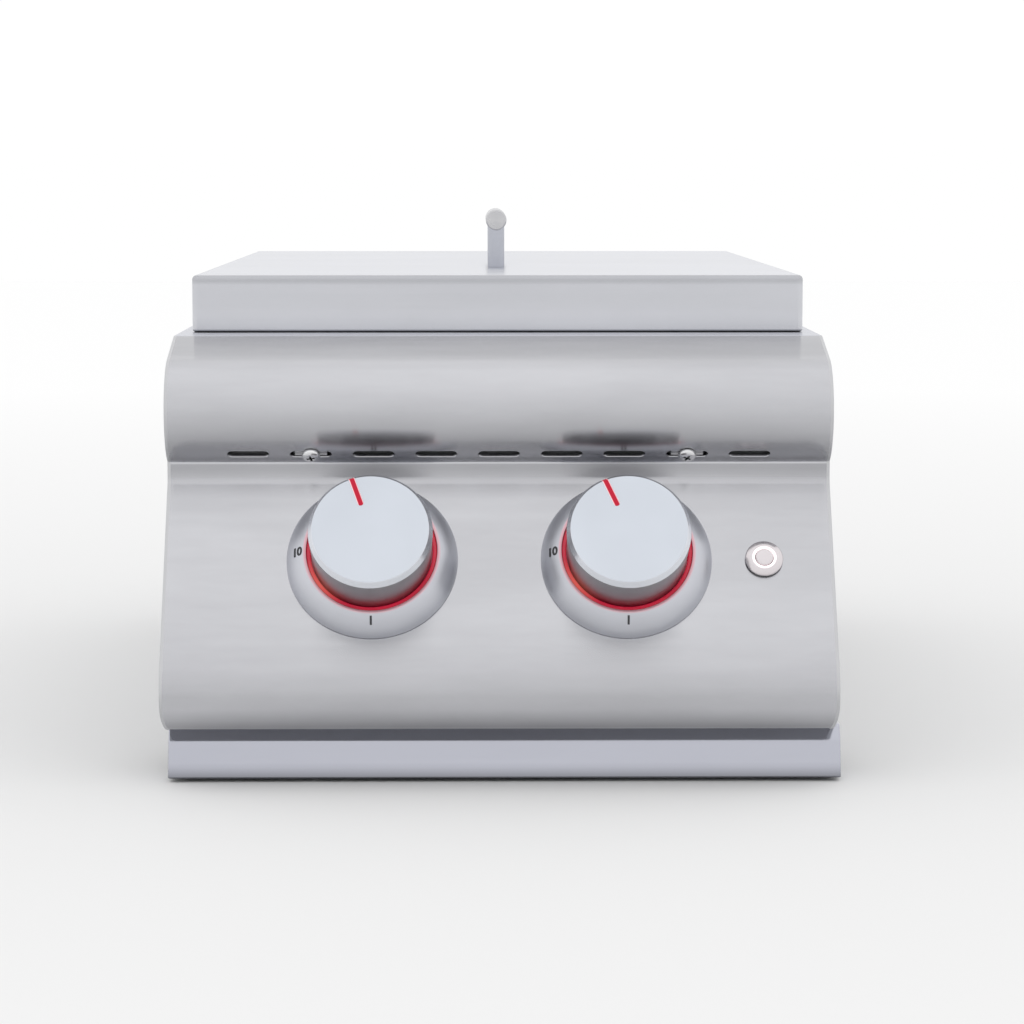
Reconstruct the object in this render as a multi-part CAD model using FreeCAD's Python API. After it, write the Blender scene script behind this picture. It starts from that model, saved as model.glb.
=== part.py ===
import FreeCAD, Part
import math
import os

V = FreeCAD.Vector

# Overall sizes in millimetres. The origin is the middle of the burner box's bottom face.
# +X is to the right as seen from the front, the front looks along -Y, +Z is up.
WIDTH = 343.0
DECK_DEPTH = 560.0
DECK_HEIGHT = 223.0
SIDE_OVERHANG = 19.0
REAR_OVERHANG = 20.0

# Sheet thicknesses
DECK_SHEET = 1.5
WALL_SHEET = 1.0
PANEL_SHEET = 1.2
CAP_SHEET = 1.6
TRAY_SHEET = 0.8
STRIP_SHEET = 1.0
RUNNER_SHEET = 1.2
RAIL_SHEET = 1.5

# How far the box walls' top edges stand in the seams under the deck
SEAM_DEPTH = 0.3

# Clearances
LIFT_GAP = 0.3
RUNNING_FIT = 0.08
CLOSE_GAP = 0.1

# Burner well in the deck
WELL_MARGIN = 7.0
WELL_END_MARGIN = 21.0
WELL_CORNER = 12.0
WELL_LIP = 8.0
LEDGE_DROP = 10.0
LEDGE_WIDTH = 12.0

# Lid and its handle
LID_SIDE_MARGIN = 6.8
LID_FRONT_MARGIN = 34.0
LID_REAR_MARGIN = 11.0
LID_HEIGHT = 30.5
LID_SHEET = 1.0
LID_EDGE_R = 2.5
LID_HEM = 3.0
LID_HEM_R = 1.5
HANDLE_BAR_R = 6.0
HANDLE_BAR_LENGTH = 80.0
HANDLE_CHAMFER = 0.8
HANDLE_POST_R = 4.75
HANDLE_POST_PITCH = 64.0
HANDLE_RISE = 27.4
HANDLE_FRONT_POST = 145.0
HANDLE_SCREW_R = 2.4
HANDLE_SCREW_HEAD_R = 4.5
HANDLE_SCREW_HEAD = 2.6
HANDLE_SCREW_REACH = 12.0

# Control panel outline, from the deck's front edge forwards and down
TOP_SLOPE = 14.5
TOP_RUN = 39.7
TOP_ROLL_R = 28.0
TOP_FLANGE = 12.0
CREASE_OUT = 42.0
NECK = 10.0
NECK_BEND_R = 8.0
FACE_TILT = 31.7
LOWER_ROLL_R = 27.0
LOWER_ROLL_RISE = 17.0
PANEL_BOTTOM = 29.0
BOTTOM_FLANGE = 15.7

# Slots, screws and clips in the panel's under curve
SLOT_COUNT = 9
SLOT_END_MARGIN = 30.2
SLOT_LENGTH = 21.0
SLOT_WIDTH = 5.0
SLOT_ANGLE = 50.0
SCREW_SLOT = 3
SCREW_R = 2.0
SCREW_HEAD_R = 4.65
SCREW_HEAD = 2.8
CLIP_LENGTH = 16.5
CLIP_WIDTH = 9.0
CLIP_SHEET = 1.2
BRACE_WIDTH = 14.0
BRACE_SHEET = 1.5

# Knobs, bezels and light rings, heights above the panel face
KNOB_SPACING = 130.0
KNOB_DOWN = 45.3
KNOB_R = 31.45
KNOB_TAPER = 1.15
KNOB_CHAMFER = 2.05
KNOB_FOOT = 8.0
KNOB_RIM = 34.5
KNOB_FACE = 37.5
KNOB_WALL = 2.5
KNOB_HUB_R = 9.0
KNOB_PUSH = 3.5
LEFT_KNOB_TURN = 19.0
RIGHT_KNOB_TURN = 23.0
POINTER_LENGTH = 17.5
POINTER_WIDTH = 2.6
POINTER_DEPTH = 2.6
KNOB_GAP = 0.7
LIGHT_RING_WALL = 2.2
LIGHT_RING_DROP = 0.8
BEZEL_HEIGHT = 12.0
BEZEL_FLARE = 9.2
BEZEL_BULGE = 1.4
BEZEL_LIP = 1.3
BEZEL_EDGE = 1.0
BEZEL_FLOOR = 2.0
BEZEL_HOLE_R = 12.0

# Valves, depths behind the panel face
STEM_R = 4.0
STEM_COLLAR_LIP = 0.85
STEM_DEPTH = 33.0
BONNET_R = 10.0
BONNET_FRONT = 12.0
VALVE_R = 13.0
VALVE_FRONT = 22.0
VALVE_BACK = 50.0
VALVE_END = 55.0
PLUG_R = 7.95
PLUG_FRONT = 28.3
PLUG_BACK = 46.7
PLUG_BORE_BACK = 43.0
SPRING_WIRE_R = 0.45
SPRING_PITCH = 2.4
OUTLET_DEPTH = 36.0
OUTLET_R = 6.0
OUTLET_END = 6.0
INLET_R = 7.0
GAS_HOLE_R = 2.0

# Gas manifold, feed pipe and inlet
MANIFOLD_DROP = 24.0
MANIFOLD_R = 9.0
MANIFOLD_WALL = 1.5
MANIFOLD_END = 25.0
FEED_PIPE_R = 6.35
FEED_PIPE_WALL = 1.15
FEED_SIDE_GAP = 15.5
FEED_BEND_R = 14.0
INLET_NUT_R = 12.5
INLET_NUT = 17.0
INLET_COLLAR_R = 9.5
INLET_COLLAR = 2.0
INLET_STUB_R = 7.94
INLET_STUB = 15.0
INLET_BORE_R = 4.0
BRACKET_WIDTH = 16.0
BRACKET_SHEET = 2.0
BRACKET_OFFSET = 28.0

# Gas jets and burners
JET_R = 5.0
JET_NOSE_R = 3.5
JET_NOSE = 12.0
JET_BORE_R = 0.6
MOUTH_R = 15.0
BURNER_WALL = 2.0
MOUTH_SETBACK = 3.0
MOUTH_LENGTH = 24.0
MOUTH_TAPER = 8.0
TUBE_R = 12.0
TUBE_BEND_R = 25.0
TUBE_RISE_R = 22.0
SHUTTER_WALL = 1.2
SHUTTER_GAP = 0.35
SHUTTER_START = 6.0
SHUTTER_LENGTH = 16.0
AIR_WINDOW_LENGTH = 12.0
AIR_WINDOW_HEIGHT = 12.0
SHUTTER_TAB = 7.0
RAIL_DROP = 63.0
RAIL_WIDTH = 30.0
RAIL_TAB = 18.0
BOWL_R = 36.0
BOWL_HEIGHT = 22.0
BOWL_WALL = 3.0
FLANGE_R = 22.0
FLANGE_HEIGHT = 3.0
RING_R = 38.0
RING_BORE_R = 30.0
RING_HEIGHT = 11.0
PORT_COUNT = 24
PORT_R = 1.5
CAP_R = 38.5
CAP_EDGE = 2.2
CAP_DOME = 3.5
CAP_FLAT_R = 8.0

# Ignition
IGNITER_OFFSET = 46.0
IGNITER_R = 3.5
IGNITER_COLLAR_R = 6.0
IGNITER_TOP = 27.0
IGNITER_BELOW = 12.0
IGNITER_PIN_R = 1.0
IGNITER_PIN_REACH = 4.5
LEAD_R = 2.0
LEAD_BEND_R = 11.0
LEAD_SPREAD = 12.0
LEAD_DROP = 93.0
MODULE_WIDTH = 48.0
MODULE_DEPTH = 26.0
MODULE_HEIGHT = 30.0

# Grates
ROD_R = 4.0
GRATE_RODS = 7
GRATE_RISE = 14.0
GRATE_GAP = 2.0
GRATE_BEND_R = 8.0
CROSS_ROD_OFFSET = 45.0

# Drip tray
STRIP_TOP_OUT = 80.0
STRIP_FOOT_OUT = 86.0
STRIP_FOOT = 2.0
STRIP_TOP_GAP = 0.6
STRIP_SHIFT = 2.6
STRIP_BEND_R = 3.0
STRIP_TOP_FLANGE = 16.0
STRIP_FOOT_FLANGE = 28.0
TRAY_REAR_GAP = 20.0
TRAY_BODY_GAP = 1.5
TRAY_RIM = 13.0
RUNNER_LEG = 14.5
RUNNER_TOP = 20.2
RUNNER_HEIGHT = 12.0
TRAY_FRONT_BACK = 79.5

# Push button
BUTTON_MARGIN = 35.9
BUTTON_BEZEL_R = 9.75
BUTTON_BEZEL = 2.2
BUTTON_RING_R = 6.2
BUTTON_RING_BORE_R = 4.85
BUTTON_CAP_R = 4.5
BUTTON_CAP_RISE = 0.4
BUTTON_BARREL_R = 7.9
BUTTON_BARREL = 22.0
BUTTON_GASKET_LIP = 0.15
BUTTON_GASKET = 1.2
BUTTON_NUT_R = 11.0
BUTTON_NUT = 3.5
BUTTON_PUSH = 1.5
BUTTON_PLUNGER = 3.0

# Grommet for the lighting lead
GROMMET_R = 9.0
GROMMET_GROOVE = 2.5
GROMMET_BORE_R = 3.2
GROMMET_LENGTH = 7.0

# Holes in the walls
PANEL_KNOB_HOLE_R = 17.0
FIREWALL_JET_HOLE_R = 11.0
VENT_LENGTH = 40.0
VENT_WIDTH = 6.0
VENT_COUNT = 5

# Places worked out from the sizes above
BOX_WIDTH = WIDTH - 2 * SIDE_OVERHANG
BOX_DEPTH = DECK_DEPTH - REAR_OVERHANG
FRONT_Y = -BOX_DEPTH / 2
REAR_Y = BOX_DEPTH / 2
DECK_REAR_Y = FRONT_Y + DECK_DEPTH
UNDER_DECK = DECK_HEIGHT - DECK_SHEET
WALL_TOP = UNDER_DECK + SEAM_DEPTH
BOX_INNER = BOX_WIDTH / 2 - WALL_SHEET
PANEL_HALF = WIDTH / 2 - CAP_SHEET
LID_FRONT_Y = FRONT_Y + LID_FRONT_MARGIN
LID_REAR_Y = DECK_REAR_Y - LID_REAR_MARGIN
LID_BASE = DECK_HEIGHT + LIFT_GAP
LID_TOP = LID_BASE + LID_HEIGHT
WELL_HALF = BOX_WIDTH / 2 - WELL_MARGIN
WELL_FRONT_Y = LID_FRONT_Y + WELL_END_MARGIN
WELL_REAR_Y = LID_REAR_Y - WELL_END_MARGIN
WELL_MID_Y = (WELL_FRONT_Y + WELL_REAR_Y) / 2
LEDGE_TOP = DECK_HEIGHT - LEDGE_DROP
GRATE_LENGTH = (WELL_REAR_Y - WELL_FRONT_Y - 2 * DECK_SHEET - 3 * GRATE_GAP) / 2
FRONT_BURNER_Y = WELL_MID_Y - (GRATE_LENGTH + GRATE_GAP) / 2
REAR_BURNER_Y = WELL_MID_Y + (GRATE_LENGTH + GRATE_GAP) / 2
RAIL_TOP = DECK_HEIGHT - RAIL_DROP
BOWL_TOP = RAIL_TOP + BOWL_HEIGHT
RING_TOP = BOWL_TOP + RING_HEIGHT
KNOB_FOOT_R = KNOB_R - KNOB_TAPER
KNOB_FACE_R = KNOB_R - KNOB_CHAMFER
BEZEL_BORE_R = KNOB_FOOT_R + KNOB_GAP + LIGHT_RING_WALL + CLOSE_GAP
BEZEL_R = BEZEL_BORE_R + BEZEL_LIP + BEZEL_FLARE
STEM_COLLAR_R = STEM_R + STEM_COLLAR_LIP
PLUG_BORE_R = STEM_COLLAR_R + 0.35
SPRING_R = PLUG_BORE_R - 3.5 * SPRING_WIRE_R
MANIFOLD_BORE_R = MANIFOLD_R - MANIFOLD_WALL
FEED_PIPE_BORE_R = FEED_PIPE_R - FEED_PIPE_WALL
MOUTH_BORE_R = MOUTH_R - BURNER_WALL
TUBE_BORE_R = TUBE_R - BURNER_WALL
GROMMET_NECK_R = GROMMET_R - GROMMET_GROOVE
BUTTON_GASKET_R = BUTTON_BEZEL_R - BUTTON_GASKET_LIP
BUTTON_X = WIDTH / 2 - BUTTON_MARGIN
SLOT_PITCH = 2 * (PANEL_HALF - SLOT_END_MARGIN - SLOT_LENGTH / 2) / (SLOT_COUNT - 1)
PANEL_DROP = DECK_HEIGHT - PANEL_BOTTOM
STRIP_TOP = PANEL_BOTTOM - STRIP_TOP_GAP


def sine(degrees):
    return math.sin(math.radians(degrees))


def cosine(degrees):
    return math.cos(math.radians(degrees))


TOP_ROLL_OUT = TOP_RUN * cosine(TOP_SLOPE) - TOP_ROLL_R * sine(TOP_SLOPE)
TOP_ROLL_DROP = TOP_RUN * sine(TOP_SLOPE) + TOP_ROLL_R * cosine(TOP_SLOPE)
CREASE_DROP = TOP_ROLL_DROP + math.sqrt(TOP_ROLL_R ** 2 - (CREASE_OUT - TOP_ROLL_OUT) ** 2)
FACE_START_DROP = CREASE_DROP + NECK
LOWER_ROLL_DROP = PANEL_DROP - LOWER_ROLL_RISE
FACE_RUN = (LOWER_ROLL_DROP - LOWER_ROLL_R * sine(FACE_TILT) - FACE_START_DROP) / cosine(FACE_TILT)
LOWER_ROLL_OUT = CREASE_OUT + FACE_RUN * sine(FACE_TILT) - LOWER_ROLL_R * cosine(FACE_TILT)
KNOB_OUT = CREASE_OUT + KNOB_DOWN * sine(FACE_TILT)
KNOB_DROP = FACE_START_DROP + KNOB_DOWN * cosine(FACE_TILT)
LEFT_KNOB_X = -KNOB_SPACING / 2
RIGHT_KNOB_X = KNOB_SPACING / 2
OUTLET_OUT = KNOB_OUT - OUTLET_DEPTH * cosine(FACE_TILT)
OUTLET_Z = DECK_HEIGHT - KNOB_DROP - OUTLET_DEPTH * sine(FACE_TILT)
MANIFOLD_OUT = OUTLET_OUT + MANIFOLD_DROP * sine(FACE_TILT)
MANIFOLD_Z = OUTLET_Z - MANIFOLD_DROP * cosine(FACE_TILT)
FEED_X = BOX_INNER - FEED_SIDE_GAP
MANIFOLD_RIGHT = FEED_X - FEED_BEND_R - 4.0
LEAD_Z = DECK_HEIGHT - LEAD_DROP
TRAY_HALF = BOX_INNER - RUNNER_LEG - TRAY_BODY_GAP
TRAY_REAR_Y = REAR_Y - TRAY_REAR_GAP
TRAY_FRONT_Y = FRONT_Y - TRAY_FRONT_BACK
TRAY_BASE = STRIP_FOOT + STRIP_SHEET
RIM_BASE = RUNNER_TOP + LIFT_GAP


# Basic shapes
def block(x0, x1, y0, y1, z0, z1):
    """A box between two corners."""
    return Part.makeBox(x1 - x0, y1 - y0, z1 - z0, V(x0, y0, z0))


def rod(start, end, radius):
    """A round rod between two points."""
    span = end - start
    return Part.makeCylinder(radius, span.Length, start, span)


def tube(start, end, radius, bore):
    """A round tube between two points."""
    return rod(start, end, radius).cut(rod(start, end, bore))


def cone(start, end, start_radius, end_radius):
    """A round taper between two points."""
    span = end - start
    return Part.makeCone(start_radius, end_radius, span.Length, start, span)


def rounded_plate(half_x, y0, y1, z0, z1, corner):
    """A flat plate with rounded upright corners."""
    plate = block(-half_x, half_x, y0, y1, z0, z1)
    upright = [edge for edge in plate.Edges if abs(edge.tangentAt(edge.FirstParameter).z) > 0.99]
    return plate.makeFillet(corner, upright)


def stadium(length, width, z0, z1):
    """A slot shaped block along X, standing on Z."""
    half = (length - width) / 2
    radius = width / 2
    middle = block(-half, half, -radius, radius, z0, z1)
    ends = [rod(V(x, 0, z0), V(x, 0, z1), radius) for x in (-half, half)]
    return middle.multiFuse(ends).removeSplitter()


def turned(outline):
    """A round piece about Z from its outline of radius and height points.

    A point with a third value, bulge, is reached by an arc that stands out from its chord by that much."""
    edges = []
    for here, there in zip(outline, outline[1:] + outline[:1]):
        a = V(here[0], 0, here[1])
        b = V(there[0], 0, there[1])
        if len(there) > 2:
            chord = b - a
            side = V(chord.z, 0, -chord.x).normalize()
            middle = (a + b) * 0.5 + side * there[2]
            edges.append(Part.Arc(a, middle, b).toShape())
        else:
            edges.append(Part.makeLine(a, b))
    face = Part.Face(Part.Wire(edges))
    return face.revolve(V(0, 0, 0), V(0, 0, 1), 360)


def bent_rod(points, radius, bend):
    """A round rod along points, each corner rounded to the bend radius, one radius or one per corner."""
    bends = bend if isinstance(bend, list) else [bend] * (len(points) - 2)
    edges = []
    start = points[0]
    for corner, after, bend_r in zip(points[1:-1], points[2:], bends):
        inward = (corner - start).normalize()
        outward = (after - corner).normalize()
        half_turn = inward.getAngle(outward) / 2
        reach = bend_r * math.tan(half_turn)
        first = corner - inward * reach
        last = corner + outward * reach
        middle_dir = (outward - inward).normalize()
        middle = corner + middle_dir * (bend_r / math.cos(half_turn) - bend_r)
        edges.append(Part.makeLine(start, first))
        edges.append(Part.Arc(first, middle, last).toShape())
        start = last
    edges.append(Part.makeLine(start, points[-1]))
    section = Part.Wire(Part.makeCircle(radius, points[0], points[1] - points[0]))
    return Part.Wire(edges).makePipeShell([section], True, False)


def folded_face(points, bends, sheet, x):
    """The side outline, at x, of a sheet folded along outer points given forwards and up.

    The sheet lies on the side that the corners turn to."""
    outer = [V(0, -p[0], p[1]) for p in points]
    runs = [(b - a).normalize() for a, b in zip(outer, outer[1:])]
    sides = [V(0, -run.z, run.y) for run in runs]
    inner = [outer[0] + sides[0] * sheet]
    for corner, before, after in zip(outer[1:-1], sides, sides[1:]):
        bisector = (before + after).normalize()
        inner.append(corner + bisector * (sheet / bisector.dot(before)))
    inner.append(outer[-1] + sides[-1] * sheet)
    edges = rounded_run(outer, bends)
    edges.append(Part.makeLine(outer[-1], inner[-1]))
    edges += rounded_run(inner, [bend - sheet for bend in bends])
    edges.append(Part.makeLine(inner[0], outer[0]))
    face = Part.Face(Part.Wire(Part.__sortEdges__(edges)))
    face.translate(V(x, FRONT_Y, 0))
    return face


def rounded_run(points, bends):
    """Line and arc edges along points, with each corner rounded to its own radius."""
    edges = []
    start = points[0]
    for corner, after, bend_r in zip(points[1:-1], points[2:], bends):
        inward = (corner - start).normalize()
        outward = (after - corner).normalize()
        half_turn = inward.getAngle(outward) / 2
        reach = bend_r * math.tan(half_turn)
        first = corner - inward * reach
        last = corner + outward * reach
        middle = corner + (outward - inward).normalize() * (bend_r / math.cos(half_turn) - bend_r)
        edges.append(Part.makeLine(start, first))
        edges.append(Part.Arc(first, middle, last).toShape())
        start = last
    edges.append(Part.makeLine(start, points[-1]))
    return edges


def side_point(x, out, drop):
    """A point given forwards of and below the deck's front edge."""
    return V(x, FRONT_Y - out, DECK_HEIGHT - drop)


def placed(shape, x, out, drop, elevation, turn=0.0):
    """A shape made about Z, stood on the panel so that Z looks out at the elevation, after a turn about Z."""
    copy = shape.copy()
    spin = FreeCAD.Rotation(V(0, 0, 1), turn)
    tip = FreeCAD.Rotation(V(1, 0, 0), 90 - elevation)
    copy.Placement = FreeCAD.Placement(side_point(x, out, drop), tip.multiply(spin)).multiply(copy.Placement)
    return copy


def on_face(shape, x, turn=0.0):
    """A shape made about Z, stood on the sloped face at the knobs' height."""
    return placed(shape, x, KNOB_OUT, KNOB_DROP, FACE_TILT, turn)


def on_slot(shape, x):
    """A shape made about Z, stood on the under curve at the slots' height."""
    out = TOP_ROLL_OUT + TOP_ROLL_R * cosine(SLOT_ANGLE)
    drop = TOP_ROLL_DROP + TOP_ROLL_R * sine(SLOT_ANGLE)
    return placed(shape, x, out, drop, -SLOT_ANGLE)


# Control housing
def panel_edges(x, inset):
    """Edges of the panel's side outline at x, moved into the housing by the inset."""
    bottom = PANEL_DROP - inset
    top_r = TOP_ROLL_R - inset
    neck_r = NECK_BEND_R + inset
    low_r = LOWER_ROLL_R - inset
    crease_reach = CREASE_OUT - inset - TOP_ROLL_OUT
    crease_turn = math.degrees(math.acos(crease_reach / top_r))
    foot_turn = math.degrees(math.asin((bottom - LOWER_ROLL_DROP) / low_r))
    neck_start = FACE_START_DROP - NECK_BEND_R * math.tan(math.radians(FACE_TILT / 2))
    slope_start = inset * (1 + sine(TOP_SLOPE)) / cosine(TOP_SLOPE)

    def top_roll(angle):
        return side_point(x, TOP_ROLL_OUT + top_r * cosine(angle), TOP_ROLL_DROP - top_r * sine(angle))

    def neck(angle):
        out = CREASE_OUT + NECK_BEND_R - neck_r * cosine(angle)
        return side_point(x, out, neck_start + neck_r * sine(angle))

    def low_roll(angle):
        return side_point(x, LOWER_ROLL_OUT + low_r * cosine(angle), LOWER_ROLL_DROP - low_r * sine(angle))

    slope_top = side_point(x, inset, slope_start * sine(TOP_SLOPE) + inset * cosine(TOP_SLOPE))
    roll_start = 90 - TOP_SLOPE
    edges = [
        Part.makeLine(slope_top, top_roll(roll_start)),
        Part.Arc(top_roll(roll_start), top_roll((roll_start - crease_turn) / 2), top_roll(-crease_turn)).toShape(),
        Part.makeLine(top_roll(-crease_turn), neck(0)),
        Part.Arc(neck(0), neck(FACE_TILT / 2), neck(FACE_TILT)).toShape(),
        Part.makeLine(neck(FACE_TILT), low_roll(FACE_TILT)),
        Part.Arc(low_roll(FACE_TILT), low_roll((FACE_TILT - foot_turn) / 2), low_roll(-foot_turn)).toShape(),
    ]
    return slope_top, edges, low_roll(-foot_turn)


def panel_foot_out():
    """How far the panel's bottom edge stands in front of the deck's front edge."""
    return LOWER_ROLL_OUT + math.sqrt(LOWER_ROLL_R ** 2 - LOWER_ROLL_RISE ** 2)


def control_panel():
    """The bent panel sheet with its slots and its knob and button holes."""
    x = -PANEL_HALF
    outer_top, outer_edges, outer_foot = panel_edges(x, 0)
    inner_top, inner_edges, inner_foot = panel_edges(x, PANEL_SHEET)
    flange_out = panel_foot_out() - BOTTOM_FLANGE
    flange_outer = side_point(x, flange_out, PANEL_DROP)
    flange_inner = side_point(x, flange_out, PANEL_DROP - PANEL_SHEET)
    lip_outer = side_point(x, 0, TOP_FLANGE)
    lip_inner = side_point(x, PANEL_SHEET, TOP_FLANGE)
    edges = outer_edges + inner_edges
    edges.append(Part.makeLine(outer_foot, flange_outer))
    edges.append(Part.makeLine(flange_outer, flange_inner))
    edges.append(Part.makeLine(flange_inner, inner_foot))
    edges.append(Part.makeLine(outer_top, lip_outer))
    edges.append(Part.makeLine(lip_outer, lip_inner))
    edges.append(Part.makeLine(lip_inner, inner_top))
    face = Part.Face(Part.Wire(Part.__sortEdges__(edges)))
    panel = face.extrude(V(2 * PANEL_HALF, 0, 0))
    slot = stadium(SLOT_LENGTH, SLOT_WIDTH, -2 * PANEL_SHEET - 1.0, 2.0)
    first = -(SLOT_COUNT - 1) / 2
    cuts = [on_slot(slot, (first + i) * SLOT_PITCH) for i in range(SLOT_COUNT)]
    knob_hole = rod(V(0, 0, -3 * PANEL_SHEET), V(0, 0, PANEL_SHEET), PANEL_KNOB_HOLE_R)
    cuts += [on_face(knob_hole, x_knob) for x_knob in (LEFT_KNOB_X, RIGHT_KNOB_X)]
    button_hole_r = BUTTON_BARREL_R + CLOSE_GAP
    cuts.append(on_face(rod(V(0, 0, -3 * PANEL_SHEET), V(0, 0, PANEL_SHEET), button_hole_r), BUTTON_X))
    return panel.cut(cuts)


def end_cap(side):
    """One S shaped side plate of the control housing, side is -1 for left and 1 for right."""
    x = -WIDTH / 2 if side < 0 else WIDTH / 2 - CAP_SHEET
    top, edges, foot = panel_edges(x, 0)
    back_foot = side_point(x, 0, PANEL_DROP)
    edges.append(Part.makeLine(foot, back_foot))
    edges.append(Part.makeLine(back_foot, top))
    face = Part.Face(Part.Wire(Part.__sortEdges__(edges)))
    return face.extrude(V(CAP_SHEET, 0, 0))


def panel_brace():
    """The strip behind the slots, from end cap to end cap, with a hole for each panel screw."""
    outer = -PANEL_SHEET - CLIP_SHEET - 0.7 - CLOSE_GAP
    strip = block(-PANEL_HALF, PANEL_HALF, -BRACE_WIDTH / 2, BRACE_WIDTH / 2, outer - BRACE_SHEET, outer)
    strip = on_slot(strip, 0)
    hole = rod(V(0, 0, -10), V(0, 0, 0), SCREW_R + CLOSE_GAP)
    return strip.cut([on_slot(hole, x) for x in screw_places()])


def screw_places():
    """The x places of the two panel screws."""
    return [-SCREW_SLOT * SLOT_PITCH, SCREW_SLOT * SLOT_PITCH]


def panel_clips():
    """The plates behind the two screw slots, each with a rib that stands in its slot."""
    top = -PANEL_SHEET - 0.7
    plate = block(-CLIP_LENGTH / 2, CLIP_LENGTH / 2, -CLIP_WIDTH / 2, CLIP_WIDTH / 2, top - CLIP_SHEET, top)
    rib = block(-CLIP_LENGTH / 2, CLIP_LENGTH / 2, -SLOT_WIDTH / 2 + 0.4, SLOT_WIDTH / 2 - 0.4, top, -0.6)
    clip = plate.fuse(rib).removeSplitter()
    clip = clip.cut(rod(V(0, 0, -6), V(0, 0, 2), SCREW_R + CLOSE_GAP))
    return Part.makeCompound([on_slot(clip, x) for x in screw_places()])


def panel_screws():
    """Two pan head cross recess screws."""
    profile = [(0, 0.05), (SCREW_HEAD_R, 0.05), (SCREW_HEAD_R, 1.0), (0, SCREW_HEAD + 0.05, 0.7)]
    head = turned(profile)
    shank = rod(V(0, 0, -9), V(0, 0, 0.05), SCREW_R)
    arm = SCREW_HEAD_R * 0.55
    cross = block(-arm, arm, -0.45, 0.45, 1.2, 5).fuse(block(-0.45, 0.45, -arm, arm, 1.2, 5))
    screw = head.fuse(shank).cut(cross).removeSplitter()
    return Part.makeCompound([on_slot(screw, x) for x in screw_places()])


def housing_floor():
    """The floor of the control housing, resting on the panel's bottom flange, with cooling holes."""
    base = PANEL_BOTTOM + PANEL_SHEET
    front = panel_foot_out() - BOTTOM_FLANGE + 8.0
    floor = block(-PANEL_HALF, PANEL_HALF, FRONT_Y - front, FRONT_Y, base, base + WALL_SHEET)
    holes = []
    for row in (front * 0.3, front * 0.65):
        for i in range(-5, 6):
            x = i * PANEL_HALF / 6
            holes.append(rod(V(x, FRONT_Y - row, base - 1), V(x, FRONT_Y - row, base + 3), 4.0))
    return floor.cut(holes)


# Burner box
def deck_frame():
    """The deck plate with the drawn burner well: raised lip above, grate ledge below.

    The box walls' top edges stand in shallow seams in its underside."""
    deck = block(-WIDTH / 2, WIDTH / 2, FRONT_Y, DECK_REAR_Y, UNDER_DECK, DECK_HEIGHT)
    ledge_base = LEDGE_TOP - DECK_SHEET
    lip_top = DECK_HEIGHT + WELL_LIP
    outer = rounded_plate(WELL_HALF, WELL_FRONT_Y, WELL_REAR_Y, ledge_base, lip_top, WELL_CORNER)
    inside = WELL_HALF - DECK_SHEET
    inner = rounded_plate(inside, WELL_FRONT_Y + DECK_SHEET, WELL_REAR_Y - DECK_SHEET,
                          LEDGE_TOP, lip_top + 1, WELL_CORNER - DECK_SHEET)
    opening = rounded_plate(inside - LEDGE_WIDTH, WELL_FRONT_Y + DECK_SHEET + LEDGE_WIDTH,
                            WELL_REAR_Y - DECK_SHEET - LEDGE_WIDTH, ledge_base - 1, lip_top + 1, WELL_CORNER)
    seams = [side_wall(-1), side_wall(1), rear_wall(), firewall()]
    return deck.fuse(outer).cut([inner, opening]).removeSplitter().cut(seams)


def side_wall(side):
    """One side wall of the burner box."""
    x0 = -BOX_WIDTH / 2 if side < 0 else BOX_INNER
    return block(x0, x0 + WALL_SHEET, FRONT_Y + WALL_SHEET, REAR_Y - WALL_SHEET, WALL_SHEET, WALL_TOP)


def rear_wall():
    """The rear wall with its vents and the holes for the gas inlet and the lead grommet."""
    wall = block(-BOX_WIDTH / 2, BOX_WIDTH / 2, REAR_Y - WALL_SHEET, REAR_Y, WALL_SHEET, WALL_TOP)
    vent = stadium(VENT_LENGTH, VENT_WIDTH, -5, 5)
    vent.rotate(V(0, 0, 0), V(1, 0, 0), 90)
    cuts = []
    pitch = BOX_WIDTH / VENT_COUNT
    for i in range(VENT_COUNT):
        copy = vent.copy()
        copy.translate(V((i - (VENT_COUNT - 1) / 2) * pitch, REAR_Y, LEDGE_TOP - 25))
        cuts.append(copy)
    back = V(0, -5, 0)
    for x, radius in ((FEED_X, INLET_COLLAR_R + CLOSE_GAP), (-FEED_X, GROMMET_NECK_R)):
        middle = V(x, REAR_Y, MANIFOLD_Z)
        cuts.append(rod(middle + back, middle - back, radius))
    return wall.cut(cuts)


def box_floor():
    """The floor of the burner box, with lightening and cooling holes."""
    floor = block(-BOX_WIDTH / 2, BOX_WIDTH / 2, FRONT_Y + WALL_SHEET, REAR_Y, 0, WALL_SHEET)
    holes = []
    for x in (-BOX_WIDTH / 4, BOX_WIDTH / 4):
        for y in (-BOX_DEPTH / 3, -BOX_DEPTH / 9, BOX_DEPTH / 9, BOX_DEPTH / 3):
            holes.append(rod(V(x, y, -1), V(x, y, 3), 14.0))
    return floor.cut(holes)


def firewall():
    """The upright plate between the burner box and the control housing."""
    wall = block(-WIDTH / 2, WIDTH / 2, FRONT_Y, FRONT_Y + WALL_SHEET, PANEL_BOTTOM, WALL_TOP)
    holes = [(LEFT_KNOB_X, OUTLET_Z, FIREWALL_JET_HOLE_R), (RIGHT_KNOB_X, OUTLET_Z, FIREWALL_JET_HOLE_R),
             (FEED_X, MANIFOLD_Z, FEED_PIPE_R + 0.5),
             (-LEAD_SPREAD, LEAD_Z, LEAD_R + 0.5), (LEAD_SPREAD, LEAD_Z, LEAD_R + 0.5)]
    cuts = [rod(V(x, FRONT_Y - 3, z), V(x, FRONT_Y + 3, z), radius) for x, z, radius in holes]
    return wall.cut(cuts)


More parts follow.
